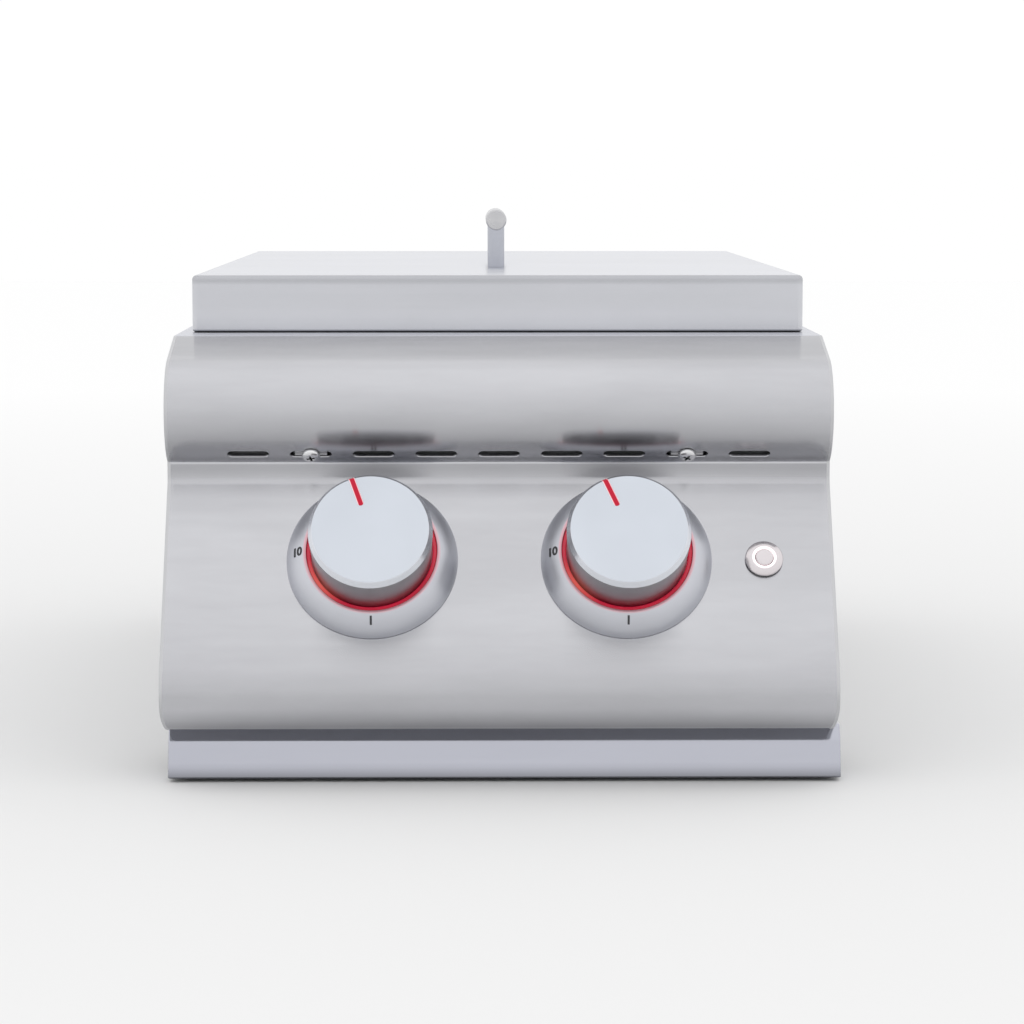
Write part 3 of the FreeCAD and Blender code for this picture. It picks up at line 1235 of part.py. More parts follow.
def main():
    os.makedirs("parts", exist_ok=True)
    for name, shape in pieces().items():
        if not shape.isValid():
            print("not valid:", name)
        shape.exportStep("parts/" + name + ".step")
        print(name, len(shape.Solids), round(shape.Volume, 1))


if __name__ == "__main__":
    main()
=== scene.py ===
"""Looks of a built in gas side burner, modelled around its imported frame.

Every length is in metres and every piece lies in the frame's own axes: X to the right as seen from the
front, the front looks along -Y, Z is up, and the origin is under the middle of the burner box's floor.
"""

import logging
import math
from dataclasses import dataclass
from enum import Enum
from typing import Callable, Iterable, Optional, Sequence

import bmesh
import bpy
from mathutils import Matrix, Vector


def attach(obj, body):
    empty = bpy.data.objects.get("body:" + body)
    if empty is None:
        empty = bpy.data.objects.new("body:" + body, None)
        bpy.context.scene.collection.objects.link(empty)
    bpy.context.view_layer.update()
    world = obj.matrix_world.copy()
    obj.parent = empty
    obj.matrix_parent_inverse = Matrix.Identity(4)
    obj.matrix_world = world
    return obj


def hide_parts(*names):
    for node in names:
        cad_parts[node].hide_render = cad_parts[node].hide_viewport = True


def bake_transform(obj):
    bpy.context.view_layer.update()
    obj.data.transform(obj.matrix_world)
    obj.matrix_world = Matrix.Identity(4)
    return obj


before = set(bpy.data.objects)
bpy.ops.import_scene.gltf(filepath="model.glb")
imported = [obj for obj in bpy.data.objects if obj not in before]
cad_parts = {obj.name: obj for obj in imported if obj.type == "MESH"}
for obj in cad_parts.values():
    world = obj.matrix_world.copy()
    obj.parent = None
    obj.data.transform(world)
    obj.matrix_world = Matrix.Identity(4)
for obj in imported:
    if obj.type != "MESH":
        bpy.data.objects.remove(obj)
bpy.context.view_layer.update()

log = logging.getLogger("side_burner")

WELD = 0.000002
NO_LENGTH = 1e-6
X_AXIS = Vector((1, 0, 0))
Y_AXIS = Vector((0, 1, 0))
Z_AXIS = Vector((0, 0, 1))
Point = tuple[float, float, float]
Colour = Point
Outline = Sequence[tuple[float, ...]]
GrainMap = Callable[[Vector], Vector]
Socket = bpy.types.NodeSocket


# Shared sizes
@dataclass(frozen=True)
class Sizes:
    """Sizes that several sub-assemblies share."""

    deck_height: float = 0.223
    deck_rear: float = 0.290
    front: float = -0.270
    deck_sheet: float = 0.0015
    face_tilt: float = math.radians(31.7)
    knob_out: float = 0.0658
    knob_drop: float = 0.1115
    knob_x: float = 0.065
    button_x: float = 0.1356

    def front_point(self, x: float, out: float, drop: float) -> Vector:
        """Gives a point by its distance in front of and below the deck's front edge.

        Args:
            x: sideways place.
            out: how far in front of the deck's front edge.
            drop: how far below the deck.

        Returns:
            The point in the frame.
        """
        return Vector((x, self.front - out, self.deck_height - drop))

    def face_frame(self, x: float) -> Matrix:
        """Gives the frame on the sloped face at the knobs' height, Z out of the face and Y up the slope.

        Args:
            x: sideways place.

        Returns:
            The matrix from that frame to the object's frame.
        """
        origin = self.front_point(x, self.knob_out, self.knob_drop)
        return Matrix.Translation(origin) @ Matrix.Rotation(math.pi / 2 - self.face_tilt, 4, "X")


SIZES = Sizes()


class Body(str, Enum):
    """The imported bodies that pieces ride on."""

    BASE = "base"
    LID = "lid"
    TRAY = "drip_tray"
    LEFT_KNOB = "left_knob"
    RIGHT_KNOB = "right_knob"
    LEFT_PLUG = "left_plug"
    RIGHT_PLUG = "right_plug"
    BUTTON = "button"
    FRONT_GRATE = "front_grate"
    REAR_GRATE = "rear_grate"
    FRONT_CAP = "front_burner_cap"
    REAR_CAP = "rear_burner_cap"
    FRONT_SHUTTER = "front_air_shutter"
    REAR_SHUTTER = "rear_air_shutter"


class Slot(str, Enum):
    """The record's material slots."""

    STEEL = "satin_steel"
    ZINC = "galvanised"
    SPUN = "spun_metal"
    RED_LIGHT = "red_light"
    WHITE_LIGHT = "white_light"
    IRON = "cast_iron"
    BRASS = "brass"
    ALUMINIUM = "cast_aluminium"
    CERAMIC = "ceramic"
    PLASTIC = "black_plastic"
    RUBBER = "black_rubber"
    LEAD = "orange_rubber"


# Materials
class Shader:
    """One node material in the making."""

    def __init__(self, name: str) -> None:
        """Starts a material with one Principled surface.

        Args:
            name: the material's name.
        """
        self.material = bpy.data.materials.new(name)
        self.material.use_nodes = True
        self.nodes = self.material.node_tree.nodes
        self.links = self.material.node_tree.links
        self.surface = next(node for node in self.nodes if node.type == "BSDF_PRINCIPLED")
        self.place = self.nodes.new("ShaderNodeTexCoord").outputs["Object"]

    def node(self, kind: str, inputs: Optional[dict] = None, **settings: object) -> bpy.types.Node:
        """Adds a node.

        Args:
            kind: the node's class name.
            inputs: values or sockets for its inputs, by name or number.
            settings: its own settings.

        Returns:
            The node.
        """
        made = self.nodes.new(kind)
        for name, value in settings.items():
            setattr(made, name, value)
        for name, value in (inputs or {}).items():
            if isinstance(value, Socket):
                self.links.new(value, made.inputs[name])
            else:
                made.inputs[name].default_value = value
        return made

    def set(self, **values: object) -> None:
        """Sets inputs of the surface, with underscores for the spaces in their names."""
        for name, value in values.items():
            socket = self.surface.inputs[name.replace("_", " ")]
            if isinstance(value, Socket):
                self.links.new(value, socket)
            else:
                socket.default_value = value

    def stretched(self, scale: Point) -> Socket:
        """Gives the object's coordinates, scaled by its own number along each axis."""
        return self.node("ShaderNodeMapping", {"Vector": self.place, "Scale": scale}).outputs["Vector"]

    def noise(self, vector: Socket, scale: float, detail: float = 2.0, roughness: float = 0.5) -> Socket:
        """Gives a noise from 0 to 1.

        Args:
            vector: where it is read.
            scale: how many grains fit in a unit of the vector.
            detail: how many finer layers it has.
            roughness: how strong those layers are.

        Returns:
            The noise's value.
        """
        values = {"Vector": vector, "Scale": scale, "Detail": detail, "Roughness": roughness}
        return self.node("ShaderNodeTexNoise", values).outputs["Fac"]

    def spread(self, value: Socket, low: float, high: float, start: float = 0.3, end: float = 0.7) -> Socket:
        """Maps a value from start to end onto low to high, clamped."""
        inputs = {"Value": value, "From Min": start, "From Max": end, "To Min": low, "To Max": high}
        return self.node("ShaderNodeMapRange", inputs).outputs["Result"]

    def ramp(self, value: Socket, stops: Sequence[tuple[float, Colour]]) -> Socket:
        """Gives a colour from a value.

        Args:
            value: the place on the ramp.
            stops: place and colour of each stop, in order.

        Returns:
            The colour.
        """
        made = self.node("ShaderNodeValToRGB", {"Fac": value})
        elements = made.color_ramp.elements
        while len(elements) < len(stops):
            elements.new(0.5)
        for element, (place, colour) in zip(elements, stops):
            element.position = place
            element.color = (*colour, 1.0)
        return made.outputs["Color"]

    def shades(self, value: Socket, colour: Colour, depth: float,
               start: float = 0.3, end: float = 0.7) -> Socket:
        """Gives a colour that is darker by depth where the value is low."""
        dark = tuple(channel * (1 - depth) for channel in colour)
        return self.ramp(self.spread(value, 0.0, 1.0, start, end), [(0.0, dark), (1.0, colour)])

    def bump(self, height: Socket, strength: float, distance: float) -> Socket:
        """Gives a normal from a height.

        Args:
            height: the height's value, from 0 to 1.
            strength: how much of the bump shows.
            distance: the height in metres.

        Returns:
            The normal.
        """
        inputs = {"Height": height, "Strength": strength, "Distance": distance}
        return self.node("ShaderNodeBump", inputs).outputs["Normal"]

    def vectors(self, operation: str, *inputs: object) -> Socket:
        """Gives the result of a vector calculation.

        Args:
            operation: the calculation's name.
            inputs: its vectors, as values or sockets.

        Returns:
            The vector or number that it gives.
        """
        made = self.node("ShaderNodeVectorMath", dict(enumerate(inputs)), operation=operation)
        return made.outputs["Value" if operation in ("LENGTH", "DISTANCE", "DOT_PRODUCT") else "Vector"]

    def total(self, one: Socket, other: object) -> Socket:
        """Adds two numbers."""
        return self.node("ShaderNodeMath", {0: one, 1: other}, operation="ADD").outputs[0]

    def mixed(self, share: Socket, under: Socket, over: Colour) -> Socket:
        """Lays a share of one colour over another."""
        inputs = {"Fac": share, "Color1": under, "Color2": (*over, 1.0)}
        return self.node("ShaderNodeMixRGB", inputs).outputs["Color"]

    def across_grain(self) -> Socket:
        """Gives the direction across the grain, from the piece's own grain map."""
        return self.node("ShaderNodeTangent", direction_type="UV_MAP", uv_map="grain").outputs["Tangent"]

    def distance_from(self, centre: Point, axis: Point) -> Socket:
        """Gives the distance in metres from an axis through a centre."""
        offset = self.vectors("SUBTRACT", self.place, centre)
        return self.vectors("LENGTH", self.vectors("CROSS_PRODUCT", offset, axis))


@dataclass(frozen=True)
class Finish:
    """A surface finish, made into one material the first time it is asked for."""

    name: str
    slot: Slot
    colour: Colour
    roughness: float = 0.4

    def material(self) -> bpy.types.Material:
        """Gives the finish's material."""
        if self.name not in bpy.data.materials:
            shader = Shader(self.name)
            shader.set(Base_Color=(*self.colour, 1.0), Roughness=self.roughness)
            self.dress(shader)
        return bpy.data.materials[self.name]

    def dress(self, shader: Shader) -> None:
        """Adds the finish's own nodes to the material in the making."""
        raise NotImplementedError(f"{self.name} has no nodes for {shader.material.name}")


class Grain(Enum):
    """Which way the brushing runs, as how fast the pattern changes along each axis."""

    ALONG_X = (0.008, 1.0, 1.0)
    ALONG_Y = (1.0, 0.008, 1.0)
    UPRIGHT = (1.0, 1.0, 0.008)
    ROUND_Y = (0.05, 1.0, 0.05)


@dataclass(frozen=True)
class BrushedSteel(Finish):
    """Satin brushed stainless steel, with fine lines one way and soft clouds of polish."""

    grain: Grain = Grain.ALONG_X
    stretch: float = 0.85
    mapped: bool = True
    clouds: float = 0.06
    brush: float = 0.05
    # Shares of the colour by height: below 1 is painted shade, above 1 is painted highlight.
    painted_light_bands: tuple[tuple[float, float], ...] = ()
    line_scale: float = 1900.0
    line_depth: float = 0.00003
    streak_scale: float = 190.0
    streak_sheen: float = 0.022
    cloud_scale: float = 26.0
    cloud_sheen: float = 0.02
    cloud_run: float = 0.22

    def dress(self, shader: Shader) -> None:
        """Adds brush lines, clouds, the stretched highlight, and painted shade and painted highlight as
        shares of colour left at some heights.

        Args:
            shader: the material in the making.
        """
        brushed = shader.stretched(self.grain.value)
        lines = shader.noise(brushed, self.line_scale, 3.0, 0.6)
        streaks = shader.noise(brushed, self.streak_scale)
        slow = tuple(self.cloud_run + (1 - self.cloud_run) * share for share in self.grain.value)
        clouds = shader.noise(shader.stretched(slow), self.cloud_scale, 5.0, 0.62)
        polish = shader.total(shader.spread(streaks, -self.streak_sheen, self.streak_sheen),
                              shader.spread(clouds, -self.cloud_sheen, self.cloud_sheen))
        peak = max([1.0] + [share for level, share in self.painted_light_bands])
        tint = shader.shades(clouds, tuple(channel * peak for channel in self.colour), self.clouds)
        # Painted shade and painted highlight: the colour is scaled down or up by height.
        if self.painted_light_bands:
            low, high = self.painted_light_bands[0][0], self.painted_light_bands[-1][0]
            height = shader.node("ShaderNodeSeparateXYZ", {0: shader.place}).outputs["Z"]
            stops = [((level - low) / (high - low), (share / peak,) * 3) for level, share in self.painted_light_bands]
            left = shader.ramp(shader.spread(height, 0.0, 1.0, low, high), stops)
            tint = shader.vectors("MULTIPLY", tint, left)
        shader.set(Base_Color=tint, Metallic=1.0, Roughness=shader.total(polish, self.roughness),
                   Normal=shader.bump(lines, self.brush, self.line_depth))
        if self.mapped:
            shader.set(Anisotropic=self.stretch, Tangent=shader.across_grain())


@dataclass(frozen=True)
class SpunMetal(Finish):
    """Lathe spun satin metal, with rings round its own axis."""

    centre: Point = (0.0, 0.0, 0.0)
    axis: Point = (0.0, 0.0, 1.0)
    stretch: float = 0.65
    ring_share: float = 0.10
    # Height of a painted shade line round the foot; none when zero.
    foot: float = 0.0
    blush: Optional[tuple[float, float]] = None
    blush_colour: Colour = (0.80, 0.22, 0.27)
    ring_scale: float = 2600.0
    ring_depth: float = 0.00004
    ring_sheen: float = 0.03
    foot_shade_share: float = 0.45

    def dress(self, shader: Shader) -> None:
        """Adds the rings, a faint cloud, a painted shade line at its foot, painted red light on its lip and
        the highlight.

        Args:
            shader: the material in the making.
        """
        radius = shader.distance_from(self.centre, self.axis)
        place = shader.node("ShaderNodeCombineXYZ", {"X": radius}).outputs["Vector"]
        rings = shader.noise(place, self.ring_scale, 3.0, 0.7)
        rough = shader.total(shader.spread(rings, -self.ring_sheen, self.ring_sheen), self.roughness)
        tint = shader.shades(shader.noise(shader.place, 30.0), self.colour, 0.05)
        # Painted shade: a thin darker band just above the foot.
        if self.foot:
            offset = shader.vectors("SUBTRACT", shader.place, self.centre)
            rise = shader.vectors("DOT_PRODUCT", offset, self.axis)
            left = shader.spread(rise, self.foot_shade_share, 1.0, self.foot * 0.7, self.foot * 1.3)
            tint = shader.vectors("MULTIPLY", tint, left)
        # Painted light: the ring's red glow is painted into the colour near the lip.
        if self.blush:
            tint = shader.mixed(shader.spread(radius, 0.5, 0.0, *self.blush), tint, self.blush_colour)
        shader.set(Base_Color=tint, Metallic=1.0, Roughness=rough, Anisotropic=self.stretch,
                   Tangent=shader.across_grain(), Normal=shader.bump(rings, self.ring_share, self.ring_depth))


@dataclass(frozen=True)
class ZincSheet(Finish):
    """Plain zinc coated sheet with a faint spangle."""

    spangle_scale: float = 95.0
    cloud_scale: float = 14.0
    cloud_depth: float = 0.0004

    def dress(self, shader: Shader) -> None:
        """Adds the spangle and dull clouds.

        Args:
            shader: the material in the making.
        """
        cells = shader.node("ShaderNodeTexVoronoi", {"Vector": shader.place, "Scale": self.spangle_scale})
        grey = shader.node("ShaderNodeSeparateColor", {"Color": cells.outputs["Color"]}).outputs["Red"]
        clouds = shader.noise(shader.place, self.cloud_scale, 4.0)
        shader.set(Base_Color=shader.shades(grey, self.colour, 0.10, 0.0, 1.0), Metallic=0.9,
                   Roughness=shader.spread(clouds, self.roughness - 0.06, self.roughness + 0.08),
                   Normal=shader.bump(clouds, 0.15, self.cloud_depth))


@dataclass(frozen=True)
class Casting(Finish):
    """A sand casting: grainy, with a metallic share."""

    metallic: float = 0.6
    grain: float = 900.0
    depth: float = 0.0004

    def dress(self, shader: Shader) -> None:
        """Adds the sand grain and its darker pits.

        Args:
            shader: the material in the making.
        """
        sand = shader.noise(shader.place, self.grain, 4.0, 0.6)
        pits = shader.noise(shader.place, self.grain / 4)
        shader.set(Base_Color=shader.shades(pits, self.colour, 0.25), Metallic=self.metallic,
                   Roughness=shader.spread(sand, self.roughness - 0.08, self.roughness + 0.1),
                   Normal=shader.bump(sand, 0.55, self.depth))


@dataclass(frozen=True)
class Brass(Finish):
    """Turned or drawn brass with a light tarnish."""

    tarnish_scale: float = 120.0
    mark_scale: float = 2200.0
    mark_depth: float = 0.00004

    def dress(self, shader: Shader) -> None:
        """Adds tarnish and fine tool marks.

        Args:
            shader: the material in the making.
        """
        tarnish = shader.noise(shader.place, self.tarnish_scale, 4.0, 0.6)
        marks = shader.noise(shader.place, self.mark_scale)
        shader.set(Base_Color=shader.shades(tarnish, self.colour, 0.28), Metallic=1.0,
                   Roughness=shader.spread(tarnish, self.roughness + 0.12, self.roughness),
                   Normal=shader.bump(marks, 0.12, self.mark_depth))


@dataclass(frozen=True)
class Moulded(Finish):
    """Moulded plastic, rubber or glaze with a fine surface."""

    grain: float = 1500.0
    depth: float = 0.00004
    coat: float = 0.0
    cloud_scale: float = 60.0

    def dress(self, shader: Shader) -> None:
        """Adds the fine grain and a slight unevenness of shine.

        Args:
            shader: the material in the making.
        """
        grain = shader.noise(shader.place, self.grain, 3.0)
        clouds = shader.noise(shader.place, self.cloud_scale)
        shader.set(Base_Color=shader.shades(clouds, self.colour, 0.10), Coat_Weight=self.coat,
                   Roughness=shader.spread(clouds, self.roughness - 0.05, self.roughness + 0.05),
                   Normal=shader.bump(grain, 0.4, self.depth))


@dataclass(frozen=True)
class LitPlastic(Finish):
    """Clear coloured plastic, lit unevenly from inside, with a bright spot where its lamp is."""

    glow: Colour = (1.0, 0.0, 0.0)
    strength: float = 1.0
    patchy: float = 0.3
    lamp: Optional[Point] = None
    lamp_reach: float = 0.016
    lamp_core: float = 0.002
    lamp_colour: Colour = (1.0, 0.20, 0.13)

    def dress(self, shader: Shader) -> None:
        """Adds the uneven glow under a glossy skin, and the bright spot over its lamp.

        Args:
            shader: the material in the making.
        """
        light = shader.shades(shader.noise(shader.place, 45.0), self.glow, self.patchy)
        if self.lamp:
            away = shader.vectors("DISTANCE", shader.place, self.lamp)
            near = shader.spread(away, 1.0, 0.0, self.lamp_core, self.lamp_reach)
            light = shader.mixed(near, light, self.lamp_colour)
        grain = shader.noise(shader.place, 700.0)
        shader.set(Emission_Color=light, Emission_Strength=self.strength,
                   Coat_Weight=0.3, Coat_Roughness=0.08, Roughness=self.roughness, IOR=1.49,
                   Normal=shader.bump(grain, 0.2, 0.00005))


@dataclass(frozen=True)
class LitPointer(Finish):
    """The knob's lit insert: a deep red core that pales to its edges, away from its own middle line."""

    middle: Point = (0.0, 0.0, 0.0)
    side: Point = (1.0, 0.0, 0.0)
    half_width: float = 0.00095
    core_share: float = 0.70
    rim_share: float = 0.86
    rim_colour: Colour = (0.72, 0.36, 0.38)
    edge_colour: Colour = (0.78, 0.62, 0.64)

    def dress(self, shader: Shader) -> None:
        """Adds the core and the pale rim.

        Args:
            shader: the material in the making.
        """
        offset = shader.vectors("SUBTRACT", shader.place, self.middle)
        aside = shader.vectors("DOT_PRODUCT", offset, self.side)
        away = shader.node("ShaderNodeMath", {0: aside}, operation="ABSOLUTE").outputs[0]
        share = shader.spread(away, 0.0, 1.0, 0.0, self.half_width)
        glow = shader.ramp(share, [(0.0, self.colour), (self.core_share, self.colour),
                                   (self.rim_share, self.rim_colour), (1.0, self.edge_colour)])
        grain = shader.bump(shader.noise(shader.place, 900.0), 0.1, 0.00003)
        shader.set(Base_Color=glow, Emission_Color=glow, Emission_Strength=0.5, Roughness=self.roughness,
                   Specular_IOR_Level=0.25, Normal=grain)


class Finishes:
    """The finishes of this burner."""

    # Painted shade: a dark line at the lid's foot and a darker band under its top edge; painted highlight
    # above 1 on the wall and top edge.
    LID = BrushedSteel("lid_steel", Slot.STEEL, (0.61, 0.617, 0.652), 0.20, stretch=1.0, clouds=0.10,
                       painted_light_bands=((0.2233, 0.15), (0.2238, 0.4), (0.2247, 1.03), (0.231, 1.06), (0.240, 1.0),
                              (0.2485, 1.0), (0.2505, 0.83), (0.2535, 0.78), (0.2538, 1.06)))
    # Painted shade on the lower roll, below and above the crease and near the deck; a painted highlight along
    # the crease.
    PANEL = BrushedSteel("panel_steel", Slot.STEEL, (0.583, 0.585, 0.613), 0.18, stretch=1.0, clouds=0.13,
                         painted_light_bands=((0.0290, 0.60), (0.0292, 0.60), (0.0294, 0.95), (0.0301, 0.68), (0.034, 0.82),
                                (0.040, 0.97), (0.047, 0.88), (0.057, 0.88), (0.072, 0.96), (0.090, 1.0),
                                (0.132, 1.0),
                                (0.150, 0.91), (0.1565, 0.72), (0.1589, 0.74), (0.1593, 1.15), (0.1600, 1.15),
                                (0.1605, 0.92), (0.166, 0.80), (0.171, 0.77), (0.182, 0.91), (0.200, 1.0),
                                (0.2075, 1.02), (0.2126, 0.94), (0.2152, 0.84), (0.223, 0.86)))
    DECK = BrushedSteel("deck_steel", Slot.STEEL, (0.575, 0.585, 0.63), 0.27)
    # Painted shade: the strip gets darker towards its foot.
    STRIP = BrushedSteel("strip_steel", Slot.STEEL, (0.49, 0.50, 0.56), 0.13,
                         painted_light_bands=((0.0020, 0.45), (0.0035, 0.58), (0.0055, 0.76), (0.0075, 0.91), (0.0100, 1.0),
                                (0.0284, 1.0)))
    SIDE = BrushedSteel("side_steel", Slot.STEEL, (0.57, 0.575, 0.59), 0.36, grain=Grain.UPRIGHT)
    SHEET = BrushedSteel("sheet_steel", Slot.STEEL, (0.55, 0.555, 0.57), 0.38, grain=Grain.UPRIGHT,
                         mapped=False)
    ROD = BrushedSteel("rod_steel", Slot.STEEL, (0.58, 0.58, 0.59), 0.30, grain=Grain.ALONG_Y, mapped=False)
    POST = BrushedSteel("post_steel", Slot.STEEL, (0.49, 0.505, 0.56), 0.24, grain=Grain.UPRIGHT, brush=0.02)
    BAR = BrushedSteel("bar_steel", Slot.STEEL, (0.59, 0.59, 0.605), 0.26, grain=Grain.ROUND_Y)
    CLIP = BrushedSteel("clip_steel", Slot.ZINC, (0.50, 0.50, 0.51), 0.34, mapped=False)
    SCREW = BrushedSteel("screw_steel", Slot.STEEL, (0.74, 0.74, 0.75), 0.22, mapped=False)
    # Painted shade: the screws' cross recesses get a near black steel colour.
    PAINTED_RECESS_SHADE = BrushedSteel("recess_painted_shade", Slot.STEEL, (0.16, 0.16, 0.165), 0.45, mapped=False)
    ZINC = ZincSheet("zinc_sheet", Slot.ZINC, (0.52, 0.53, 0.55), 0.42)
    IRON = Casting("cast_iron", Slot.IRON, (0.045, 0.045, 0.048), 0.62, 0.35)
    ENAMEL = Casting("cap_enamel", Slot.IRON, (0.018, 0.018, 0.02), 0.34, 0.0, 420.0, 0.00012)
    ALUMINIUM = Casting("valve_casting", Slot.ALUMINIUM, (0.53, 0.53, 0.54), 0.45, 1.0, 1100.0, 0.0002)
    BRASS = Brass("burner_brass", Slot.BRASS, (0.70, 0.50, 0.24), 0.28)
    RUBBER = Moulded("black_rubber", Slot.RUBBER, (0.018, 0.018, 0.018), 0.62, 900.0, 0.0001)
    PLASTIC = Moulded("black_plastic", Slot.PLASTIC, (0.025, 0.025, 0.027), 0.45, 1300.0, 0.00008)
    LEAD = Moulded("silicone_lead", Slot.LEAD, (0.50, 0.085, 0.03), 0.5, 800.0, 0.00005)
    CERAMIC = Moulded("glazed_ceramic", Slot.CERAMIC, (0.80, 0.78, 0.72), 0.22, 300.0, 0.00003, 0.5)
    INK = Moulded("dial_ink", Slot.PLASTIC, (0.03, 0.03, 0.035), 0.5)
    BUTTON_RING = LitPlastic("button_ring", Slot.WHITE_LIGHT, (0.92, 0.80, 0.82), 0.3, (1.0, 0.90, 0.91),
                             0.75, 0.05)


# Modelling
@dataclass(frozen=True)
class Ring:
    """One level loop of a lofted frame: a rectangle with rounded corners.

    A rounding of more than nothing softens the frame's edge there, starting that far from it.
    """

    half_x: float
    y0: float
    y1: float
    z: float
    corner: float
    rounding: float = 0.0


class Trim(Enum):
    """What one shape does to another."""

    CUT = "DIFFERENCE"
    COMMON = "INTERSECT"


def of_kind(items: Iterable, kind: type) -> list:
    """Picks the elements of one kind from a mesh operator's result."""
    return [item for item in items if isinstance(item, kind)]


def baked(thing: bpy.types.Object) -> bpy.types.Mesh:
    """Gives the mesh of an object with its modifiers applied, and removes the object."""
    graph = bpy.context.evaluated_depsgraph_get()
    mesh = bpy.data.meshes.new_from_object(thing.evaluated_get(graph), depsgraph=graph)
    bpy.data.objects.remove(thing)
    return mesh


class Blank:
    """A piece's mesh in the making, shaped by bmesh operators."""

    def __init__(self) -> None:
        """Starts with an empty mesh."""
        self.mesh = bmesh.new()

    def everything(self) -> list:
        """Gives all vertices, edges and faces."""
        return self.mesh.verts[:] + self.mesh.edges[:] + self.mesh.faces[:]

    def bevel(self, parts: list, offset: float, segments: int, affect: str = "EDGES",
              clamped: bool = False) -> None:
        """Rounds edges or corners.

        Args:
            parts: the edges, or the vertices.
            offset: how far from them the rounding starts.
            segments: how many steps it has.
            affect: EDGES or VERTICES.
            clamped: whether roundings that would overlap are narrowed.
        """
        bmesh.ops.bevel(self.mesh, geom=parts, offset=offset, offset_type="OFFSET", segments=segments,
                        profile=0.5, affect=affect, clamp_overlap=clamped, material=-1)

    def flat(self, outline: Outline, across: Vector, up: Vector, origin: Vector = Vector(),
             segments: int = 6) -> None:
        """Lays a flat closed outline.

        Args:
            outline: points across and up; a third value rounds that corner, starting that far from it.
            across: the direction of the first number.
            up: the direction of the second number.
            origin: where both are zero.
            segments: how many steps a rounded corner has.
        """
        corners = [self.mesh.verts.new(origin + across * point[0] + up * point[1]) for point in outline]
        self.mesh.faces.new(corners)
        for corner, point in zip(corners, outline):
            if len(point) > 2:
                self.bevel([corner], point[2], segments, "VERTICES")

    def prism(self, outline: Outline, across: Vector, up: Vector, depth: Vector, origin: Vector = Vector(),
              segments: int = 6) -> "Blank":
        """Extrudes a flat closed outline.

        Args:
            outline: points as flat takes them.
            across: the direction of the first number.
            up: the direction of the second number.
            depth: how far and which way it is extruded.
            origin: where the outline's numbers are zero.
            segments: how many steps a rounded corner has.

        Returns:
            This blank.
        """
        self.flat(outline, across, up, origin, segments)
        self.extrude(self.mesh.faces[:], depth)
        return self.tidied()

    @staticmethod
    def whole(faces: list) -> list:
        """Gives faces with their edges and vertices, in an order that is the same each run."""
        parts = dict.fromkeys(faces)
        for face in faces:
            parts.update(dict.fromkeys([*face.edges, *face.verts]))
        return list(parts)

    def extrude(self, faces: list, depth: Vector) -> list:
        """Extrudes faces and gives the faces at the far end."""
        made = bmesh.ops.extrude_face_region(self.mesh, geom=self.whole(faces))["geom"]
        bmesh.ops.translate(self.mesh, verts=of_kind(made, bmesh.types.BMVert), vec=depth)
        return of_kind(made, bmesh.types.BMFace)

    def turned(self, outline: Outline, steps: int = 128, segments: int = 5) -> "Blank":
        """Turns a closed outline about Z.

        Args:
            outline: points of radius and height; a third value rounds that corner, starting that far from it.
            steps: how many steps the turn has.
            segments: how many steps a rounded corner has.

        Returns:
            This blank.
        """
        self.flat(outline, X_AXIS, Z_AXIS, segments=segments)
        bmesh.ops.delete(self.mesh, geom=self.mesh.faces[:], context="FACES_ONLY")
        middle = [edge for edge in self.mesh.edges if all(abs(vert.co.x) < WELD for vert in edge.verts)]
        bmesh.ops.delete(self.mesh, geom=middle, context="EDGES")
        bmesh.ops.spin(self.mesh, geom=self.mesh.verts[:] + self.mesh.edges[:], cent=(0, 0, 0), axis=Z_AXIS,
                       angle=2 * math.pi, steps=steps, use_merge=True)
        return self.tidied()

    def loft(self, rings: Sequence[Ring], closed: bool = False, steps: int = 6) -> "Blank":
        """Joins rounded rectangles one to the next, then softens the edges that ask for it.

        Args:
            rings: the rectangles in order.
            closed: whether the last is joined to the first, instead of a cap on each of them.
            steps: how many steps a rectangle's corner has.

        Returns:
            This blank.
        """
        loops = []
        for level, ring in enumerate(rings):
            edges, faces = set(self.mesh.edges), set(self.mesh.faces)
            outline = [(-ring.half_x, ring.y0, ring.corner), (ring.half_x, ring.y0, ring.corner),
                       (ring.half_x, ring.y1, ring.corner), (-ring.half_x, ring.y1, ring.corner)]
            self.flat(outline, X_AXIS, Y_AXIS, Z_AXIS * level, steps)
            loops.append([edge for edge in self.mesh.edges if edge not in edges])
            if closed or 0 < level < len(rings) - 1:
                cap = [face for face in self.mesh.faces if face not in faces]
                bmesh.ops.delete(self.mesh, geom=cap, context="FACES_ONLY")
        for near, far in zip(loops, loops[1:] + loops[:1] if closed else loops[1:]):
            bmesh.ops.bridge_loops(self.mesh, edges=near + far)
        for level, (ring, loop) in enumerate(zip(rings, loops)):
            corners = list({vert for edge in loop for vert in edge.verts})
            bmesh.ops.translate(self.mesh, verts=corners, vec=Z_AXIS * (ring.z - level))
        for rounding in sorted({ring.rounding for ring in rings} - {0.0}):
            edges = [edge for ring, loop in zip(rings, loops) if ring.rounding == rounding for edge in loop]
            self.bevel(edges, rounding, 4)
        return self.tidied()

